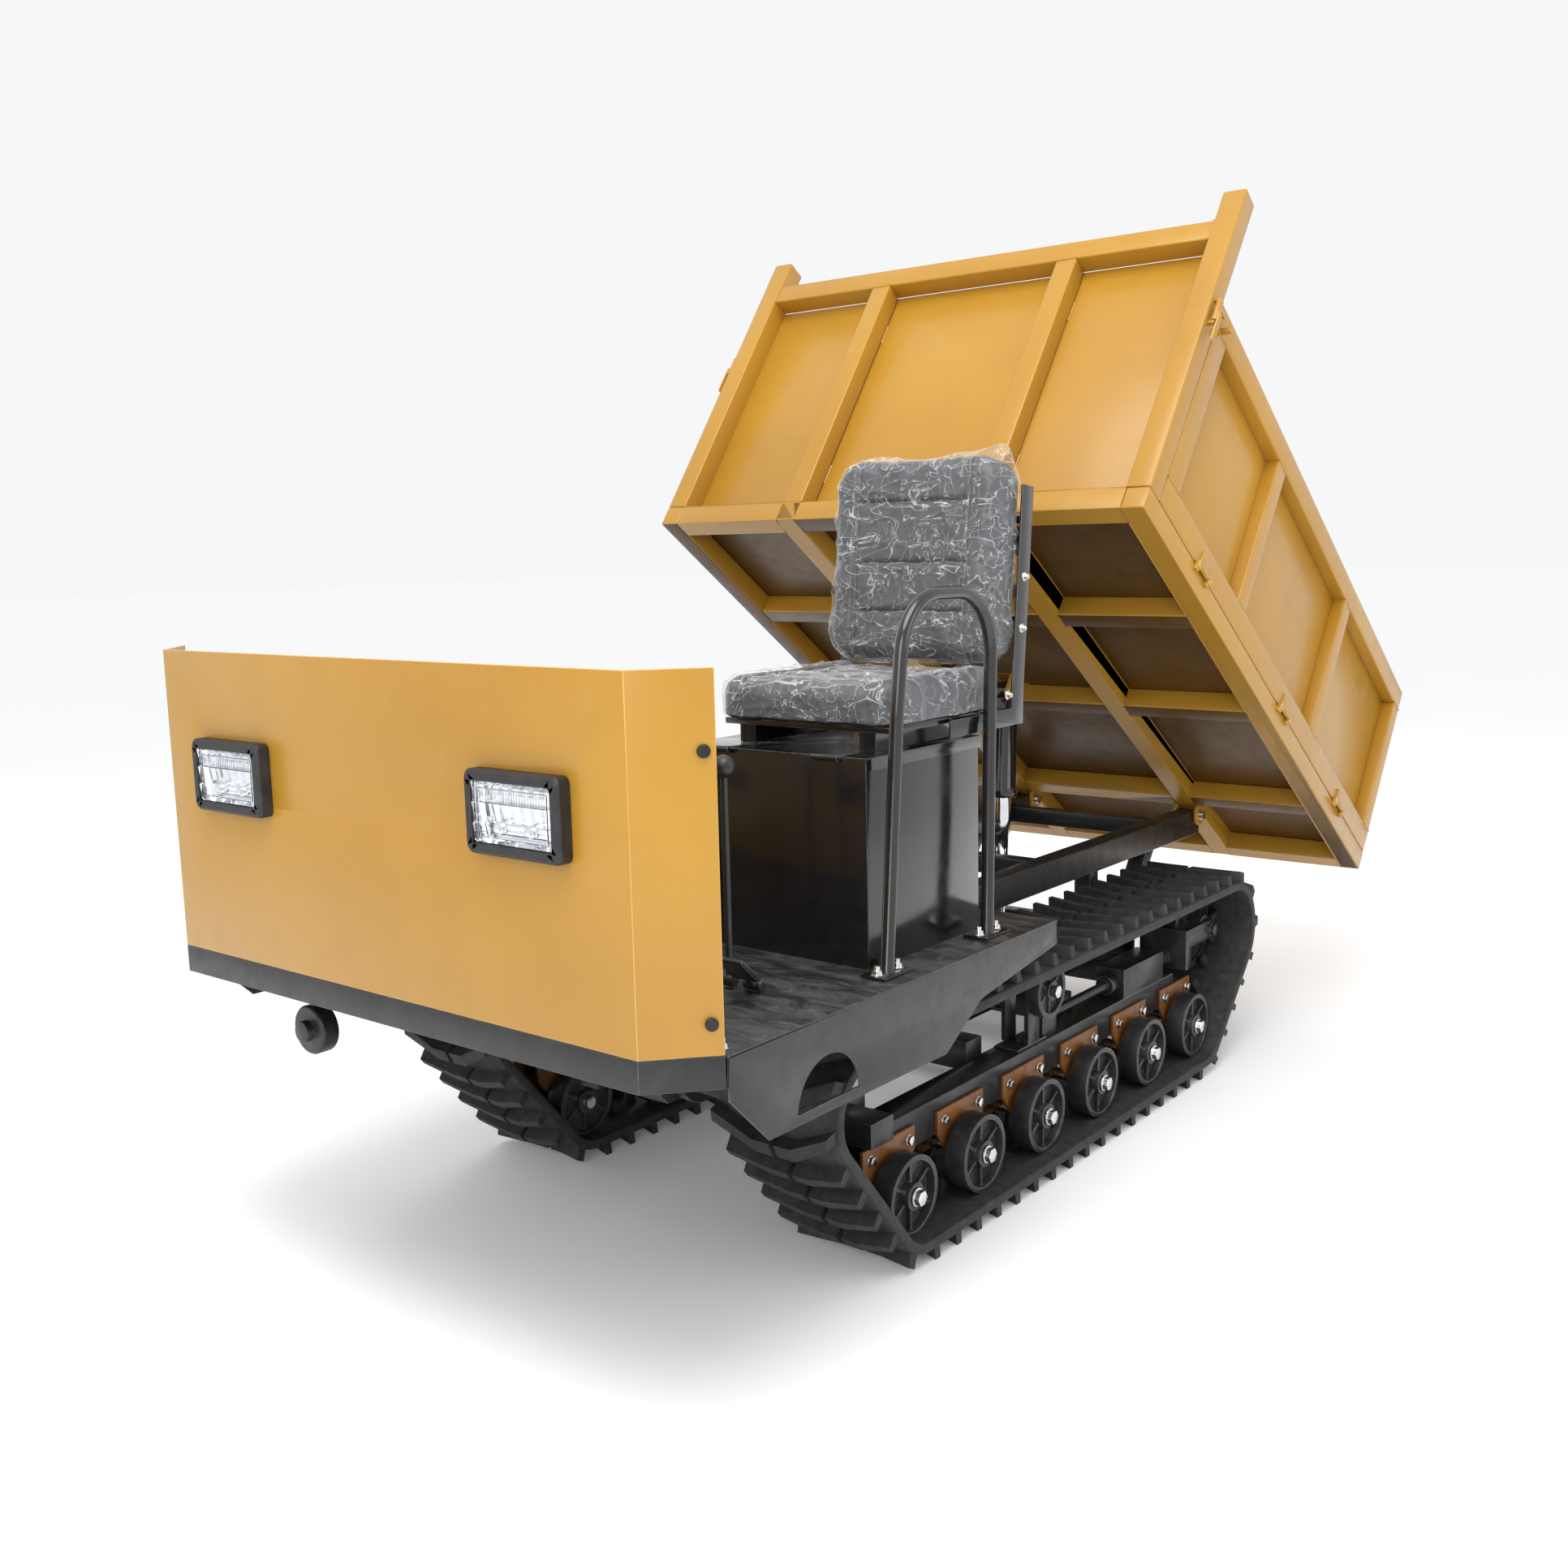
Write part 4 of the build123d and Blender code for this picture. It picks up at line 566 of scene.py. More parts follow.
track = dict(belt=0.024, lug=0.030, pitch=0.0841, sprocketRadius=0.100, gap=0.0004, hornHigh=0.038,
             hornInner=0.028, hornOuter=0.046, hornHalf=0.019, rimBevel=0.005)
lug = dict(inner=0.005, kink=0.047, outer=0.1465, root=0.032, sweep=0.046, tip=0.72, draft=0.78, rib=0.0022)
rubber = ("trackRubber", "lugEdge", "scuffedLug")


def wheelSeat(node, radius=None, drop=0.0):
    low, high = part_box(node)
    return ((low.y + high.y) / 2, (low.z + high.z) / 2 - drop, radius or (high.z - low.z) / 2)


def trackPath():
    # wheels in order, the belt's inner face touching each; runs and arcs follow them
    wheels = [
        wheelSeat("sprocket_left", track["sprocketRadius"]),
        wheelSeat("track_roller_1_left", None, track["gap"]),
        wheelSeat("track_roller_6_left", None, track["gap"]),
        wheelSeat("idler_left"),
    ]
    wheels[3] = (wheels[3][0], wheels[3][1], wheels[3][2] + track["gap"])
    neutral = track["belt"] / 2
    turns = []
    for (y0, z0, r0), (y1, z1, r1) in zip(wheels, wheels[1:] + wheels[:1]):
        turns.append(atan2(z1 - z0, y1 - y0) - pi / 2 + asin((r0 - r1) / hypot(y1 - y0, z1 - z0)))
    stretches = []
    for i, (y0, z0, r0) in enumerate(wheels):
        y1, z1, r1 = wheels[(i + 1) % 4]
        turn, following = turns[i], turns[(i + 1) % 4]
        start = (y0 + (r0 + neutral) * cos(turn), z0 + (r0 + neutral) * sin(turn))
        end = (y1 + (r1 + neutral) * cos(turn), z1 + (r1 + neutral) * sin(turn))
        stretches.append(("run", start, end, turn, hypot(end[0] - start[0], end[1] - start[1])))
        sweep = (following - turn) % (2 * pi)
        stretches.append(("arc", (y1, z1), r1 + neutral, turn, (r1 + neutral) * sweep))
    return stretches


def alongTrack(stretches, distance):
    for kind, a, b, turn, length in stretches:
        if distance <= length or (kind, a) == (stretches[-1][0], stretches[-1][1]):
            if kind == "run":
                share = distance / length
                return a[0] + share * (b[0] - a[0]), a[1] + share * (b[1] - a[1]), turn
            angle = turn + distance / b
            return a[0] + b * cos(angle), a[1] + b * sin(angle), angle
        distance -= length


def halfLug():
    # one arm of the chevron: square near the middle, then swept back and narrowed towards the edge
    inner, outer, half = lug["inner"], lug["outer"], lug["root"] / 2
    high = track["belt"] + track["lug"]
    piece = cubeAt((inner, -half, track["belt"] - 0.004), (outer, half, high))
    edit(piece)
    bpy.ops.mesh.bisect(plane_co=(lug["kink"], 0, 0), plane_no=(1, 0, 0))
    leaveEdit()
    choose(piece, "VERT", lambda v: v.co.x > outer - 0.001)
    bpy.ops.transform.translate(value=(0, -lug["sweep"], 0))
    bpy.ops.transform.resize(value=(1, lug["tip"], 1), center_override=(outer, -lug["sweep"], high))
    leaveEdit()
    choose(piece, "VERT", lambda v: v.co.z > high - 0.001)
    middle = ((inner + outer) / 2, -0.012, high)
    bpy.ops.transform.resize(value=(0.975, lug["draft"], 1), center_override=middle)
    leaveEdit()
    choose(piece, "FACE", lambda f: f.normal.z > 0.9)
    bpy.ops.mesh.inset(thickness=lug["rib"], depth=0.0)
    leaveEdit()
    ribbed = [f for f in piece.data.polygons if f.select]
    paintWith(piece, *rubber)
    for polygon in piece.data.polygons:
        # upward faces take the pale rubber, a painted highlight along the lug's top edge
        polygon.material_index = 1 if polygon.normal.z > 0.9 else 0
    # the ribbed middle takes the paler lug-top finish: wear and a painted highlight
    for polygon in ribbed:
        polygon.material_index = 2
    return piece


def trackPitch(pitch, width):
    # belt slab, two lug arms and two guide horns
    belt = cubeAt((-width / 2, 0, 0), (width / 2, pitch, track["belt"]))
    choose(belt, "FACE", lambda f: abs(f.normal.y) > 0.9)
    bpy.ops.mesh.delete(type="ONLY_FACE")
    leaveEdit()
    choose(belt, "EDGE", lambda a, b: abs(a.y - b.y) > pitch * 0.9)
    bpy.ops.mesh.bevel(offset=track["rimBevel"], segments=2)
    leaveEdit()
    edit(belt, "EDGE")
    for i in range(1, 7):
        bpy.ops.mesh.select_all(action="SELECT")
        bpy.ops.mesh.bisect(plane_co=(0, pitch * i / 7, 0), plane_no=(0, 1, 0))
    leaveEdit()
    paintWith(belt, *rubber)
    for polygon in belt.data.polygons:
        polygon.material_index = 0
    arm = halfLug()
    arm.data.transform(Matrix.Translation((0, pitch * 0.75, 0)))
    other = duplicate(arm, "arm", flipX=True)
    horns = []
    middle, tip, half = pitch * 0.5, -track["hornHigh"], track["hornHalf"]
    for sign in (-1, 1):
        x = sorted((sign * track["hornInner"], sign * track["hornOuter"]))
        horn = cubeAt((x[0], middle - half, tip), (x[1], middle + half, 0.004))
        choose(horn, "VERT", lambda v: v.co.z < -0.02)
        bpy.ops.transform.resize(value=(0.72, 0.55, 1), center_override=(sum(x) / 2, middle, tip))
        leaveEdit()
        roundEdges(horn, 0.003)
        paintWith(horn, *rubber[:2])
        horns.append(horn)
    return joined([belt, arm, other, *horns], "trackPitch")


def rubberTracks():
    low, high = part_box("rubber_track_left")
    width, centre = high.x - low.x, (high.x + low.x) / 2
    stretches = trackPath()
    around = sum(s[4] for s in stretches)
    count = round(around / track["pitch"])
    piece = trackPitch(around / count, width)
    repeat = piece.modifiers.new("repeat", "ARRAY")
    repeat.count = count
    repeat.use_relative_offset = False
    repeat.use_constant_offset = True
    repeat.constant_offset_displace = (0, around / count, 0)
    applyAll(piece)
    neutral = track["belt"] / 2
    for vertex in piece.data.vertices:
        x, s, h = vertex.co
        y, z, angle = alongTrack(stretches, s % around if s < around - 0.00001 else 0.0)
        lift = h - neutral
        vertex.co = (centre + x, y + lift * cos(angle), z + lift * sin(angle))
    outward(piece)
    smoothByAngle(piece, 38)
    for side in sides:
        made = duplicate(piece, f"crawler_track_{side}", (0 if side == "left" else -2 * centre, 0, 0))
        paintWith(made, *rubber)
        finished(made, "chassis", "track_rubber", f"rubber_track_{side}")
    bpy.data.objects.remove(piece)
    print("tracks made with", count, "lugs each")


rubberTracks()


# ---- head lamps: bezel, mirrored shell with two bulbs, fluted lens

lamp = dict(width=0.229, tall=0.144, proud=0.030, rim=0.019, corner=0.014, lensCorner=0.009, lensIn=0.004,
            lensThick=0.0035, flute=0.0065, fluteDeep=0.0007, deep=0.020)


def gridOf(columns, rows, wide, tall):
    bpy.ops.mesh.primitive_grid_add(x_subdivisions=columns, y_subdivisions=rows, size=1)
    piece = bpy.context.object
    piece.scale = (wide, tall, 1)
    return placeInMesh(piece)


def roundedPlate(width, tall, corner):
    # a flat rectangle with round corners, facing up, at the origin
    bpy.ops.mesh.primitive_plane_add(size=1)
    piece = bpy.context.object
    piece.scale = (width, tall, 1)
    placeInMesh(piece)
    edit(piece, "VERT")
    bpy.ops.mesh.bevel(offset=corner, segments=5, affect="VERTICES")
    leaveEdit()
    return piece


def stoodUp(piece, x):
    # from lying face up to facing the front of the machine, at one lamp's place
    piece.data.transform(Matrix.Rotation(pi / 2, 4, "X"))
    piece.data.transform(Matrix.Translation((x, frontFace - 0.0002, lampHigh)))
    return piece


def lampBezel():
    piece = roundedPlate(lamp["width"], lamp["tall"], lamp["corner"])
    edit(piece)
    pull(lamp["proud"] - 0.006)
    pull(0.006)
    bpy.ops.transform.resize(value=(0.955, 0.93, 1))
    bpy.ops.mesh.inset(thickness=lamp["rim"] - 0.005)
    pull(-0.009)
    bpy.ops.mesh.inset(thickness=0.002)
    bpy.ops.mesh.delete(type="FACE")
    leaveEdit()
    roundEdges(piece, 0.0018, 3, 28)
    paintWith(piece, "blackPlastic")
    return piece


def lampShell():
    # chrome tray with stepped tiers across it and a bulb cap in the lower tier
    wide, tall = lamp["width"] - 2 * lamp["rim"], lamp["tall"] - 2 * lamp["rim"]
    piece = gridOf(76, 48, wide, tall)
    for vertex in piece.data.vertices:
        x, y, _ = vertex.co
        edge = min(wide / 2 - abs(x), tall / 2 - abs(y))
        wall = max(0, 1 - edge / 0.012) ** 2
        tier = (y + tall / 2) / tall * 3
        step = (tier % 1) * 0.006 if 0 < tier < 3 else 0
        facet = 0.0012 * (1 - abs((x / 0.0125) % 2 - 1)) if tier > 1 else 0
        vertex.co.z = lamp["proud"] - 0.008 - lamp["deep"] * (1 - wall) + step + facet
    paintWith(piece, "mirrorShell")
    smoothByAngle(piece, 20)
    bulbs = []
    for x in (-0.045, 0.03):
        cap = rodAt((x, -tall / 4, lamp["proud"] - 0.022), "Z", 0.011, 0.016, 20)
        choose(cap, "FACE", lambda f: f.normal.z > 0.9)
        bpy.ops.mesh.inset(thickness=0.003)
        pull(0.003)
        leaveEdit()
        roundEdges(cap, 0.0012)
        paintWith(cap, "mirrorShell")
        smoothByAngle(cap)
        bulbs.append(cap)
    return joined([piece, *bulbs], "lampShell")


def lampLens():
    # clear cover, fluted on its inner face, with a raised frame line round it
    wide, tall = lamp["width"] - 2 * lamp["rim"] - 0.001, lamp["tall"] - 2 * lamp["rim"] - 0.001
    piece = gridOf(118, 66, wide, tall)
    outer, corner = lamp["proud"] - lamp["lensIn"], lamp["lensCorner"]
    upper, lower = tall * 0.17, -tall * 0.16    # the two bars across it, with flutes above and below
    for vertex in piece.data.vertices:
        x, y, _ = vertex.co
        nearX, nearY = abs(x) - (wide / 2 - corner), abs(y) - (tall / 2 - corner)
        if nearX > 0 and nearY > 0 and hypot(nearX, nearY) > corner:
            shrink = corner / hypot(nearX, nearY)
            x = (abs(x) - nearX * (1 - shrink)) * (1 if x > 0 else -1)
            y = (abs(y) - nearY * (1 - shrink)) * (1 if y > 0 else -1)
        edge = min(wide / 2 - abs(x), tall / 2 - abs(y))
        rail = 0.0009 * exp(-((edge - 0.011) / 0.0016) ** 2)
        bar = 0.0008 * sum(exp(-((y - line) / 0.0013) ** 2) for line in (upper, lower))
        flutes = lamp["fluteDeep"] * abs(sin(pi * x / lamp["flute"])) if edge > 0.013 and y > upper else 0
        rows = lamp["fluteDeep"] * abs(sin(pi * y / lamp["flute"])) if edge > 0.013 and y < lower else 0
        crown = 0.0016 * (1 - (2 * x / wide) ** 2) * (1 - (2 * y / tall) ** 2)
        vertex.co = (x, y, outer + crown + rail + bar - flutes - rows - 0.0016)
    thick = piece.modifiers.new("thick", "SOLIDIFY")
    thick.thickness = lamp["lensThick"]
    thick.offset = -1
    applyAll(piece)
    paintWith(piece, "lensPlastic")
    smoothByAngle(piece, 50)
    return piece


lampLow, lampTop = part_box("headlight_housings")
lampHigh = (lampLow.z + lampTop.z) / 2
lampX = lampTop.x - lamp["width"] / 2


def headLamps():
    for maker, name, slotName, nodes in (
        (lampBezel, "lamp_bezels", "black_plastic", ("headlight_housings",)),
        (lampShell, "lamp_mirrors", "chrome_rod", ()),
        (lampLens, "lamp_lenses", "clear_lens", ("headlight_lenses",)),
    ):
        first = maker()
        second = duplicate(first, "second")
        stoodUp(first, lampX)
        stoodUp(second, -lampX)
        finished(joined([first, second], name), "chassis", slotName, *nodes)


headLamps()
print("lamps made")


# ---- cargo bed, gates and headboard, built up from rounded steel tube and sheet

tipAngle = radians(35.44)
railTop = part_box("bed_subframe")[1].z
hingeHigh = railTop - 0.016    # the rails stand 16 mm above the tipping hinge's axis
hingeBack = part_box("bed_subframe")[1].y - 0.016
bed = dict(half=0.744, front=1.597, rear=0.331, low=0.017, tube=0.059, sheet=0.003, post=0.062, postTop=0.971,
           head=(0.821, 0.881), gateTop=0.661, gateThick=0.042, seam=0.002, crosses=(1.110, 0.630, 0.060),
           rail=0.294, railHalf=0.03, uprights=(0.975, 0.302), tubeRound=0.0045, wall=0.0009,
           hinges=(1.247, 0.560, -0.005), hingeHalf=0.0245, latchHigh=0.6)
bed["top"] = bed["low"] + bed["tube"]
bed["floor"] = bed["top"] + bed["sheet"]
gateRails = dict(low=0.074, high=0.067, front=0.076, rear=0.054)
proud = 0.0008      # how far a gate's inner sheet stands off its tubes


def onBed(low, high):
    # limits as (across, forward of the hinge, above the hinge) with the bed level, to a cube
    return cubeAt((low[0], -high[1], low[2]), (high[0], -low[1], high[2]))


def tippedUp(piece):
    piece.data.transform(Matrix.Rotation(-tipAngle, 4, "X"))
    piece.data.transform(Matrix.Translation((0, hingeBack, hingeHigh)))
    return piece


def frameOf(tubes, sheets, name):
    made = []
    for blocks, radius, segments in ((tubes, bed["tubeRound"], 3), (sheets, bed["wall"], 2)):
        if blocks:
            group = joined([onBed(low, high) for low, high in blocks], name)
            roundEdges(group, radius, segments, 30, 1)
            made.append(group)
    return made


def bead(start, end, radius=0.0032, pitch=0.006):
    # a weld run between two points of the level bed: a rippled half-buried cord of metal
    a = Vector((start[0], -start[1], start[2]))
    b = Vector((end[0], -end[1], end[2]))
    length = (b - a).length
    bpy.ops.mesh.primitive_cylinder_add(vertices=6, radius=radius, depth=length, end_fill_type="TRIFAN")
    piece = bpy.context.object
    edit(piece)
    steps = max(2, round(length / pitch))
    for i in range(1, steps):
        bpy.ops.mesh.select_all(action="SELECT")
        bpy.ops.mesh.bisect(plane_co=(0, 0, -length / 2 + length * i / steps), plane_no=(0, 0, 1))
    leaveEdit()
    for vertex in piece.data.vertices:
        turn = noise.noise(vertex.co * 90 + a * 7)
        swell = 0.82 + 0.22 * abs(sin(vertex.co.z / pitch * pi)) + 0.16 * turn
        vertex.co.x *= swell
        vertex.co.y *= swell
    spin = Vector((0, 0, 1)).rotation_difference(b - a).to_matrix().to_4x4()
    piece.data.transform(Matrix.Translation((a + b) / 2) @ spin)
    return piece


def bedPiece(name, body, nodes, tubes, sheets, beads=(), extras=(), shadeUnderneath=False):
    parts = frameOf(tubes, sheets, name)
    parts += [bead(*ends) for ends in beads]
    for part in parts:
        tippedUp(part)
    piece = joined([*parts, *extras], name)
    slots = [polygon.material_index for polygon in piece.data.polygons]
    # bevel faces take the paler yellow, a painted highlight
    paintWith(piece, "yellowPaint", "yellowEdgeHighlight", "yellowPaintedShade")
    below = Vector((0, -sin(tipAngle), -cos(tipAngle)))
    for polygon, index in zip(piece.data.polygons, slots):
        # with the flag set, faces turned down take the dark yellow: painted shade
        polygon.material_index = 2 if shadeUnderneath and polygon.normal.dot(below) > 0.8 else min(index, 1)
    smoothByAngle(piece, 40)
    return finished(piece, body, "yellow_paint", *nodes)


def headboardPiece():
    back, front = bed["front"] - bed["post"], bed["front"]
    base, top = bed["top"] + 0.0002, bed["head"][0]
    inner = bed["half"] - bed["post"]
    tubes = []
    beads = []
    for s in (-1, 1):
        x = sorted((s * inner, s * bed["half"]))
        tubes.append(((x[0], back, base), (x[1], front, bed["postTop"])))
        near, far = s * bed["rail"] - bed["railHalf"], s * bed["rail"] + bed["railHalf"]
        tubes.append(((near, back + 0.006, base), (far, front - 0.001, top + 0.001)))
        for z in (base, top):
            beads.append(((near, front - 0.001, z), (far, front - 0.001, z)))
        for z in bed["head"]:
            beads.append(((s * inner, back + 0.006, z), (s * inner, front - 0.003, z)))
        beads.append(tuple((s * inner, front - 0.002, z) for z in bed["head"]))
        for edge in (near, far):
            beads.append(((edge, back + 0.004, base + 0.1), (edge, back + 0.004, base + 0.16)))
            beads.append(((edge, back + 0.004, top - 0.16), (edge, back + 0.004, top - 0.1)))
    reach = inner + 0.001
    tubes.append(((-reach, back + 0.004, bed["head"][0]), (reach, front - 0.002, bed["head"][1])))
    sheets = [((-reach, back, base), (reach, back + bed["sheet"], top + 0.002))]
    pins = []
    for s in (-1, 1):
        # two lugs hold each front latch's pin
        x = sorted((s * (bed["half"] - 0.002), s * (bed["half"] + 0.016)))
        for z in (bed["latchHigh"] - 0.034, bed["latchHigh"] + 0.034):
            sheets.append(((x[0], front - 0.0275, z - 0.004), (x[1], front - 0.0165, z + 0.004)))
        place = (s * (bed["half"] + 0.013), 0.022 - front, bed["latchHigh"])
        pins.append(tippedUp(rodAt(place, "Z", 0.0035, 0.068, 16)))
    bedPiece("headboard_made", "bed", ("headboard",), tubes, sheets, beads, pins)


def sideGates():
    outer, thick = bed["half"], bed["gateThick"]
    front, rear = bed["front"] - bed["post"] - bed["seam"], -bed["rear"]
    low, high = bed["top"] + bed["seam"], bed["gateTop"]
    lowRail, highRail = low + gateRails["low"], high - gateRails["high"]
    corners = ((front - gateRails["front"], front - 0.001), (rear + 0.001, rear + gateRails["rear"]))
    for side, s in zip(sides, (1, -1)):
        x = sorted((s * (outer - thick + proud), s * outer))
        tubes = [((x[0], rear, low), (x[1], front, lowRail)), ((x[0], rear, highRail), (x[1], front, high)),
                 ((x[0], corners[0][0], lowRail - 0.001), (x[1], front - 0.0003, highRail + 0.001)),
                 ((x[0], rear + 0.0003, lowRail - 0.001), (x[1], corners[1][1], highRail + 0.001))]
        beads = [((s * (outer - 0.001), start, z), (s * (outer - 0.001), end, z))
                 for start, end in corners for z in (lowRail, highRail)]
        shallow = sorted((s * (outer - thick + proud + 0.0004), s * (outer - 0.001)))
        for middle in bed["uprights"]:
            near, far = middle - bed["railHalf"], middle + bed["railHalf"]
            tubes.append(((shallow[0], near, low + 0.003), (shallow[1], far, high - 0.003)))
            for z in (lowRail, highRail):
                beads.append(((s * (outer - 0.0015), near, z), (s * (outer - 0.0015), far, z)))
        skin = sorted((s * (outer - thick), s * (outer - thick + bed["sheet"])))
        sheets = [((skin[0], rear + 0.002, low + 0.002), (skin[1], front - 0.002, high - 0.002))]
        keeper = sorted((s * (outer - 0.001), s * (outer + 0.026)))
        sheets.append(((keeper[0], front - 0.034, bed["latchHigh"] - 0.006),
                       (keeper[1], front - 0.022, bed["latchHigh"] + 0.006)))
        node = f"side_gate_{side}"
        bedPiece(node + "_made", node, (node,), tubes, sheets, beads, gateHinges(s))


def gateHinges(s):
    # the rolled middle knuckle and its leaf at each of a gate's three hinges
    made = []
    x, rise = s * (bed["half"] + 0.0085), bed["top"] + 0.001
    leafX = sorted((s * (bed["half"] - 0.001), s * (bed["half"] + 0.005)))
    webX = sorted((s * (bed["half"] + 0.0015), x + s * 0.001))
    for along in bed["hinges"]:
        near, far = along - bed["hingeHalf"], along + bed["hingeHalf"]
        roll = rodAt((x, -along, rise), "Y", 0.0075, 2 * bed["hingeHalf"], 20)
        leaf = onBed((leafX[0], near, rise + 0.0045), (leafX[1], far, rise + 0.044))
        web = onBed((webX[0], near, rise + 0.0035), (webX[1], far, rise + 0.012))
        for part, width in ((roll, 0.001), (leaf, 0.0012), (web, 0.0008)):
            roundEdges(part, width, 2, 30, 1)
            made.append(tippedUp(part))
    return made


def tailgatePiece():
    half = bed["half"] - bed["gateThick"] - bed["seam"]
    rear, low, high = -bed["rear"], bed["floor"] + bed["seam"], bed["gateTop"]
    inside = rear + 0.040
    face = inside - proud
    lowRail, highRail = low + 0.062, high - 0.058
    tubes = [((-half, rear, low), (half, face, lowRail)), ((-half, rear, highRail), (half, face, high))]
    beads = []
    for s in (-1, 1):
        for x in (sorted((s * (half - 0.056), s * half)), (s * 0.24 - 0.028, s * 0.24 + 0.028)):
            tubes.append(((x[0], rear + 0.0008, low + 0.002), (x[1], face - 0.0004, high - 0.002)))
            for z in (lowRail, highRail):
                beads.append(((x[0], rear + 0.001, z), (x[1], rear + 0.001, z)))
    sheets = [((-half + 0.002, inside - bed["sheet"], low + 0.002), (half - 0.002, inside, high - 0.002))]
    extras = []
    for x in (-0.48, 0.48):
        roll = rodAt((x, bed["rear"] + 0.0085, low - 0.002), "X", 0.0075, 0.048, 20)
        ear = onBed((x - 0.024, rear - 0.008, low - 0.002), (x + 0.024, rear + 0.001, low + 0.040))
        for part in (roll, ear):
            roundEdges(part, 0.001, 2, 30, 1)
            extras.append(tippedUp(part))
    bedPiece("tailgate_made", "tailgate", ("tailgate",), tubes, sheets, beads, extras)


def bedFramePiece():
    # floor frame as separate tubes; hinge ears, brackets and pins keep their CAD shape through a trimmed copy
    half, inner = bed["half"], bed["half"] - bed["tube"]
    low, top = bed["low"], bed["top"]
    front, rear = bed["front"], -bed["rear"]
    tubes = []
    beads = []
    for s in (-1, 1):
        x = sorted((s * inner, s * half))
        near, far = s * bed["rail"] - bed["railHalf"], s * bed["rail"] + bed["railHalf"]
        tubes.append(((x[0], rear, low), (x[1], front, top)))
        tubes.append(((near, rear + 0.001, low + 0.0004), (far, front - 0.001, top - 0.0004)))
    places = (front - bed["tube"] / 2, *bed["crosses"], rear + bed["tube"] / 2)
    for middle in places:
        a, b = middle - bed["tube"] / 2, middle + bed["tube"] / 2
        tubes.append(((-inner - 0.001, a, low + 0.0002), (inner + 0.001, b, top - 0.0002)))
        for s in (-1, 1):
            for x in (s * inner, s * (bed["rail"] + bed["railHalf"]), s * (bed["rail"] - bed["railHalf"])):
                beads.append(((x, a, low + 0.0022), (x, b, low + 0.0022)))
    floorX, floorFront = half - bed["gateThick"] - bed["seam"], front - bed["post"] - bed["seam"]
    sheets = [((-floorX, rear + 0.002, top - 0.001), (floorX, floorFront, bed["floor"]))]
    # the last True paints shade on the floor's downward faces
    bedPiece("bed_floor_made", "bed", (), tubes, sheets, beads, (), True)
    keep = brokenEdges("bed_frame", "yellow", 0.0012)
    keep.name = "bed_hinge_ears"
    inverse = Matrix.Rotation(tipAngle, 4, "X") @ Matrix.Translation((0, -hingeBack, -hingeHigh))
    spare = 0.0005

    def hidden(face):
        # faces of the tubes and the floor, which are modelled above
        points = [inverse @ keep.data.vertices[i].co for i in face.vertices]
        return all(abs(p.x) <= half + spare and low - spare <= p.z <= bed["floor"] + spare
                   and -front - spare <= p.y <= -rear + spare for p in points)

    choose(keep, "FACE", hidden)
    bpy.ops.mesh.delete(type="FACE")
    leaveEdit()


headboardPiece()
sideGates()
tailgatePiece()
bedFramePiece()
print("bed made")


# ---- seat: two puffed vinyl cushions in crinkled film, and the bolts of their frame

cushions = {
    "seat_cushion": dict(face=(0, 0, 1), channels=(0.27, 0.52, 0.77), along="y", seam=0.150, bolster=0.007,
                         fill=0.8, film="film_on_cushion", flat=(0.57, 0.54)),
    "seat_back_cushion": dict(face=(0, -1, 0), channels=(0.25, 0.49, 0.79), along="z", seam=0.142,
                              bolster=0.009, fill=0.8, film="film_on_backrest", flat=(0.58, 0.58)),
}
stitching = dict(deep=0.0085, wide=0.0062, voxel=0.006, mostMove=0.009, frames=20)
clothSettings = dict(quality=5, mass=0.3, tension_stiffness=30, compression_stiffness=30, shear_stiffness=12,
                     bending_stiffness=1.5, use_pressure=True, uniform_pressure_force=4.0)


def puffed(node):
    # an even copy of the CAD cushion, blown up a little by the cloth solver
    piece = copyOf(node)
    leaveEdit()
    even = piece.modifiers.new("even", "REMESH")
    even.mode = "VOXEL"
    even.voxel_size = stitching["voxel"] * 1
    applyAll(piece)
    rest = [vertex.co.copy() for vertex in piece.data.vertices]
    cloth = piece.modifiers.new("blown", "CLOTH")
    for key, value in clothSettings.items():
        setattr(cloth.settings, key, value)
    cloth.settings.effector_weights.gravity = 0
    cloth.collision_settings.use_collision = False
    cloth.point_cache.frame_start = 1
    cloth.point_cache.frame_end = stitching["frames"]
    for number in range(1, stitching["frames"] + 1):
        bpy.context.scene.frame_set(number)
    applyAll(piece)
    bpy.context.scene.frame_set(1)
    for vertex, before in zip(piece.data.vertices, rest):
        move = vertex.co - before
        if move.length > stitching["mostMove"]:
            vertex.co = before + move * (stitching["mostMove"] / move.length)
    finer = piece.modifiers.new("finer", "SUBSURF")
    finer.levels = finer.render_levels = 1
    return applyAll(piece)


def limits(piece):
    points = [vertex.co for vertex in piece.data.vertices]
    return [Vector([most(p[i] for p in points) for i in range(3)]) for most in (min, max)]


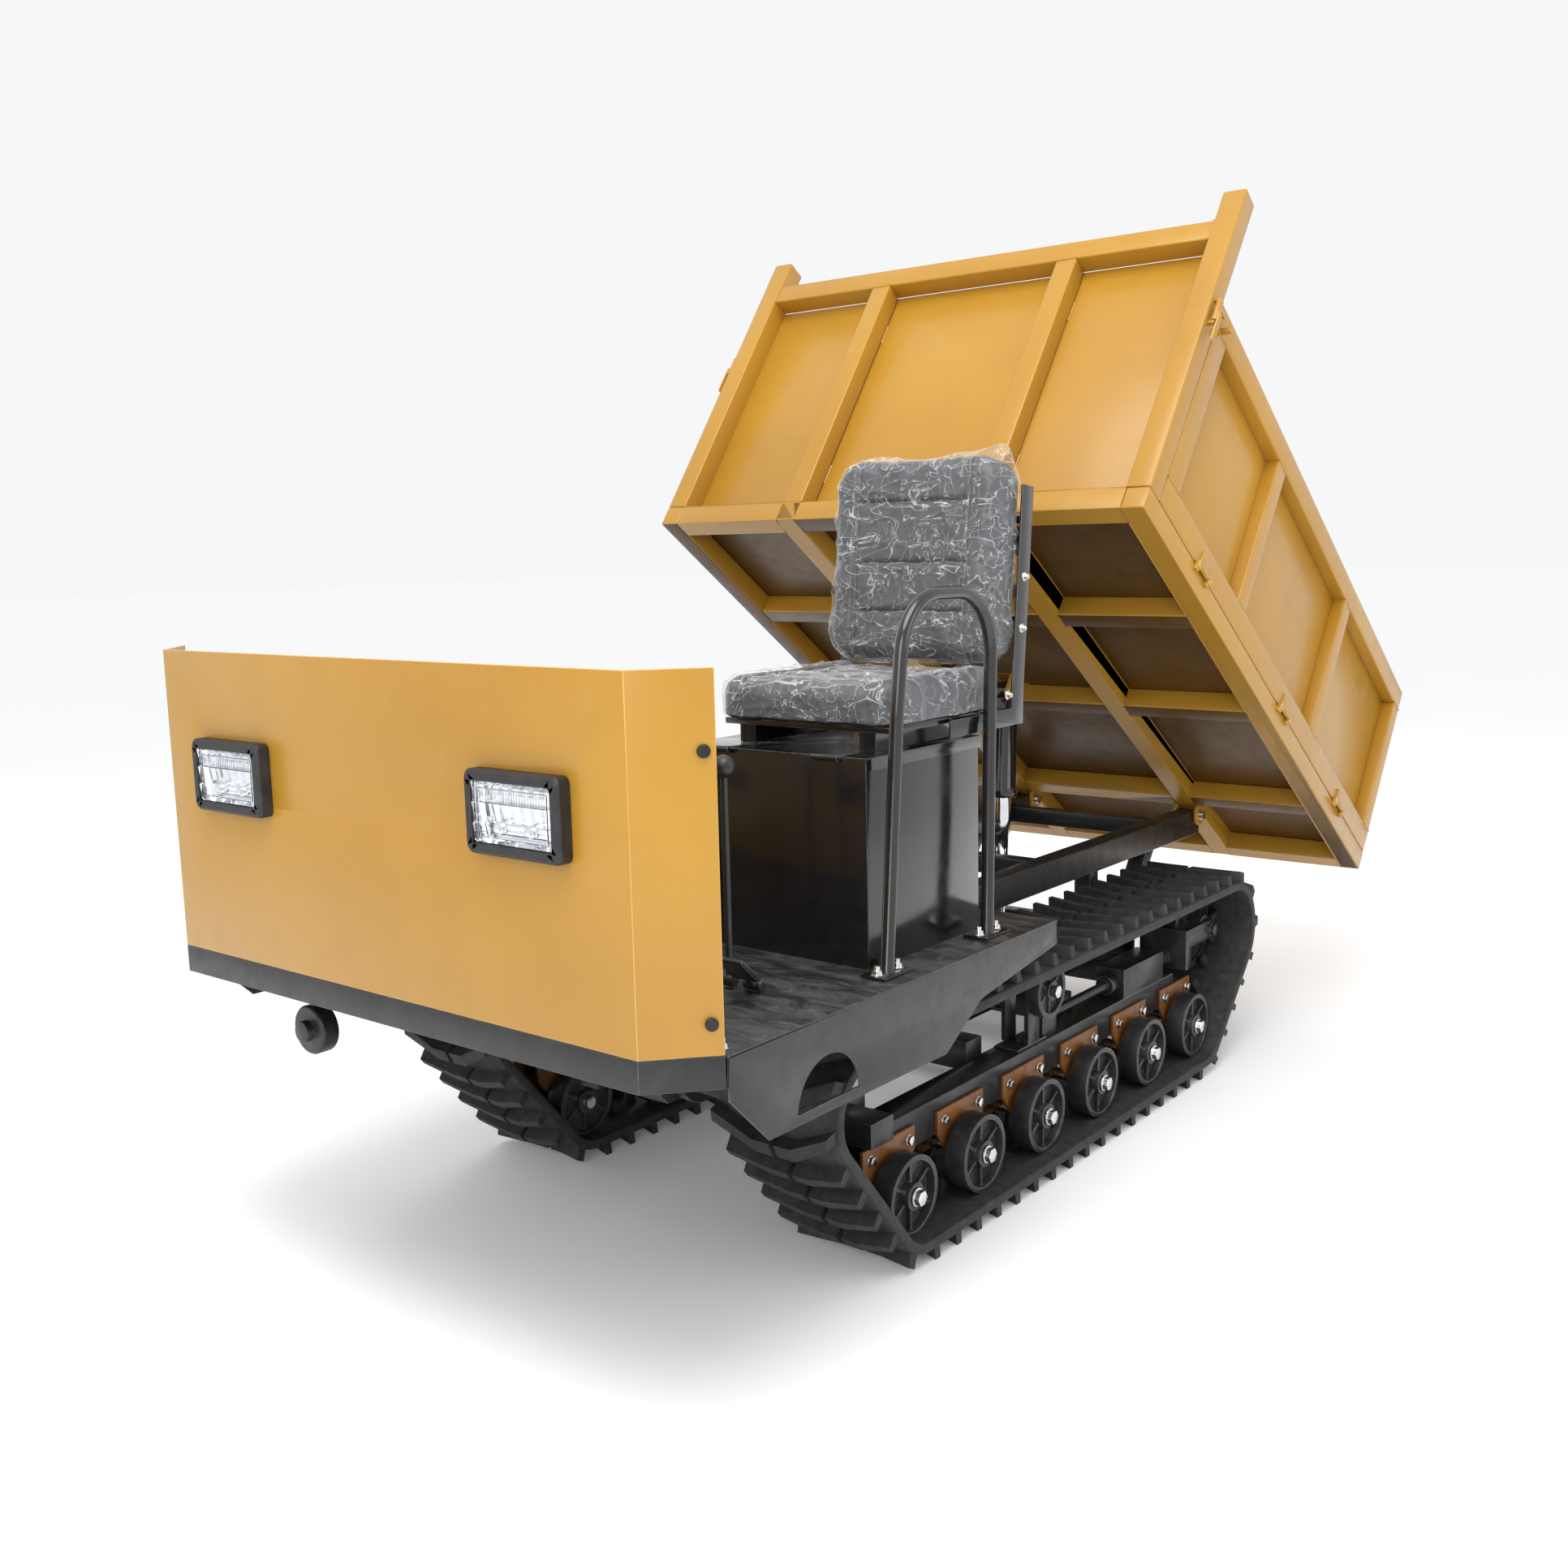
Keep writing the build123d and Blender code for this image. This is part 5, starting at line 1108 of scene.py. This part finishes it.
def stitched(piece, look):
    # sewn channels across the middle panel, a seam down either side of it and fuller bolsters outside
    low, high = limits(piece)
    middle = (low.x + high.x) / 2
    face = Vector(look["face"])
    axis = "xyz".index(look["along"])
    long = high[axis] - low[axis]
    normals = [vertex.normal.copy() for vertex in piece.data.vertices]
    for vertex, normal in zip(piece.data.vertices, normals):
        facing = max(0, normal.dot(face) - 0.35) / 0.65
        if not facing:
            continue
        across = abs(vertex.co.x - middle)
        place = (vertex.co[axis] - low[axis]) / long
        inside = 1 / (1 + exp((across - look["seam"]) / 0.004))
        groove = inside * max(exp(-(((place - c) * long) / stitching["wide"]) ** 2) for c in look["channels"])
        edge = exp(-((across - look["seam"]) / (stitching["wide"] * 0.8)) ** 2)
        pucker = 0.0007 * noise.noise(Vector((across * 60, place * 55, 3.1)))
        lift = look["bolster"] * (1 - inside) - stitching["deep"] * max(groove, edge * 0.8) + pucker
        vertex.co += face * lift * facing


def creaseAt(place):
    # 1 along the lines where the noise crosses zero, falling away on both sides
    return (1 - min(1, abs(noise.noise(place)) * 3.0)) ** 2


def film(cushion, look, corner=None):
    # thin packing film over a cushion's face and edges, creased, open on its far side
    piece = duplicate(cushion, look["film"])
    face = Vector(look["face"])
    choose(piece, "FACE", lambda f: f.normal.dot(face) < -0.35)
    bpy.ops.mesh.delete(type="FACE")
    leaveEdit()
    normals = [vertex.normal.copy() for vertex in piece.data.vertices]
    for vertex, normal in zip(piece.data.vertices, normals):
        place = vertex.co
        bent = place + Vector((noise.noise(place * 9), noise.noise(place * 9 + Vector((5, 1, 2))), 0)) * 0.035
        creases = creaseAt(Vector((bent.x * 15, bent.y * 15, bent.z * 7)))
        crossed = creaseAt(Vector((bent.x * 8, bent.y * 17, bent.z * 18)) + face * 9)
        vertex.co = place + normal * (0.002 + 0.0055 * creases + 0.004 * crossed)
        if corner:
            near = max(0, 1 - (place - corner).length / 0.085)
            vertex.co += Vector((0.030, -0.006, 0.044)) * near ** 1.6
    paintWith(piece, "clearFilm")
    finished(piece, "seat", "clear_lens")
    smooth(piece)


def seatCushions():
    made = {}
    for node, look in cushions.items():
        piece = puffed(node)
        stitched(piece, look)
        paintWith(piece, "seatVinyl")
        smooth(piece)
        finished(piece, "seat", "grey_vinyl", node)
        made[node] = piece
        print("cushion made:", node)
    back = made["seat_back_cushion"]
    low, high = limits(back)
    top = Vector((high.x - 0.01, (low.y + high.y) / 2, high.z - 0.01))
    film(back, cushions["seat_back_cushion"], top)
    film(made["seat_cushion"], cushions["seat_cushion"])


def seatBolts():
    # bright dome nuts where the backrest and the cushion's bracket are held to the side frame
    low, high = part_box("seat_frame")
    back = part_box("seat_back_cushion")
    lean = 0.105
    foot = (frontFace + 1.166, 1.210)
    places = []
    for share in (0.42, 0.18):
        z = back[0].z + share * (back[1].z - back[0].z)
        places.append((foot[0] + lean * (z - foot[1]), z))
    places.append((frontFace + 1.118, 1.176))
    nuts = []
    for y, z in places:
        for x, sign in ((high.x, 1), (low.x, -1)):
            washer = rodAt((x + sign * 0.001, y, z), "X", 0.0095, 0.002, 24)
            nut = rodAt((x + sign * 0.005, y, z), "X", 0.0068, 0.007, 6)
            dome = rodAt((x + sign * 0.0095, y, z), "X", 0.0048, 0.005, 20)
            for part, width in ((washer, 0.0005), (nut, 0.0008), (dome, 0.0014)):
                roundEdges(part, width)
                nuts.append(part)
    piece = joined(nuts, "seat_bolts")
    paintWith(piece, "zinc")
    smoothByAngle(piece)
    finished(piece, "seat", "zinc_plate")


seatCushions()
seatBolts()
print("seat made")


# ---- front camera, lights and floor

def studio():
    shot = dict(place=(2.317, -3.4464, 1.497), yaw=38.67, pitch=8.80, roll=-1.30, lens=35.52, sensor=36.0)
    yaw, pitch, roll = radians(shot["yaw"]), radians(shot["pitch"]), radians(shot["roll"])
    ahead = Vector((-sin(yaw) * cos(pitch), cos(yaw) * cos(pitch), -sin(pitch)))
    right = Vector((cos(yaw), sin(yaw), 0))
    up = right.cross(ahead)
    right, up = cos(roll) * right + sin(roll) * up, cos(roll) * up - sin(roll) * right
    camera = linked("camera", bpy.data.cameras.new("camera"))
    turn = Matrix((right, up, -ahead)).transposed().to_4x4()
    camera.matrix_world = Matrix.Translation(shot["place"]) @ turn
    camera.data.lens = shot["lens"]
    camera.data.sensor_width = shot["sensor"]
    camera.data.dof.use_dof = False
    bpy.context.scene.camera = camera

    # name: place, target, size, power, tint
    lamps = {
        "overheadSoft": ((1.2, -2.2, 5.0), (0, -0.2, 0.8), 3.6, 150, (1, 0.99, 0.97)),
        "frontSoft": ((2.6, -6.0, 3.2), (0, -0.8, 1.0), 3.2, 90, (1, 1, 1)),
        "leftSoft": ((6.0, 1.0, 3.0), (0.3, 0.3, 0.9), 3.0, 40, (0.97, 0.98, 1)),
        "rearSoft": ((-4.0, 5.0, 4.0), (0, 0.6, 1.2), 3.0, 50, (1, 0.98, 0.95)),
    }
    for name, (place, target, size, power, tint) in lamps.items():
        light = linked(name, bpy.data.lights.new(name, "AREA"))
        light.data.shape = "DISK"
        light.data.size = size
        light.data.energy = power
        light.data.color = tint
        light.location = place
        light.rotation_mode = "QUATERNION"
        light.rotation_quaternion = (Vector(target) - Vector(place)).to_track_quat("-Z", "Y")

    world = bpy.data.worlds.new("softSky")
    bpy.context.scene.world = world
    world.use_nodes = True
    sky = world.node_tree.nodes["Background"].inputs
    sky["Color"].default_value = (0.985, 0.99, 1.0, 1)
    sky["Strength"].default_value = 0.94

    bpy.ops.mesh.primitive_plane_add(size=120, location=(0, 0, -0.0005))
    floor = bpy.context.object
    floor.name = "paleFloor"
    made = Finish("paleFloor")
    haze = made.cloud(1.2, 4)
    made.use(Base_Color=made.blend(made.spread(haze, 0.3, 0.7, 0, 1), (0.93, 0.93, 0.93), (0.95, 0.95, 0.95)))
    made.set(Roughness=0.8, Emission_Color=(1, 1, 1, 1), Emission_Strength=0.065)
    floor.data.materials.append(made.material)
    bpy.context.scene.view_settings.view_transform = "Standard"


studio()
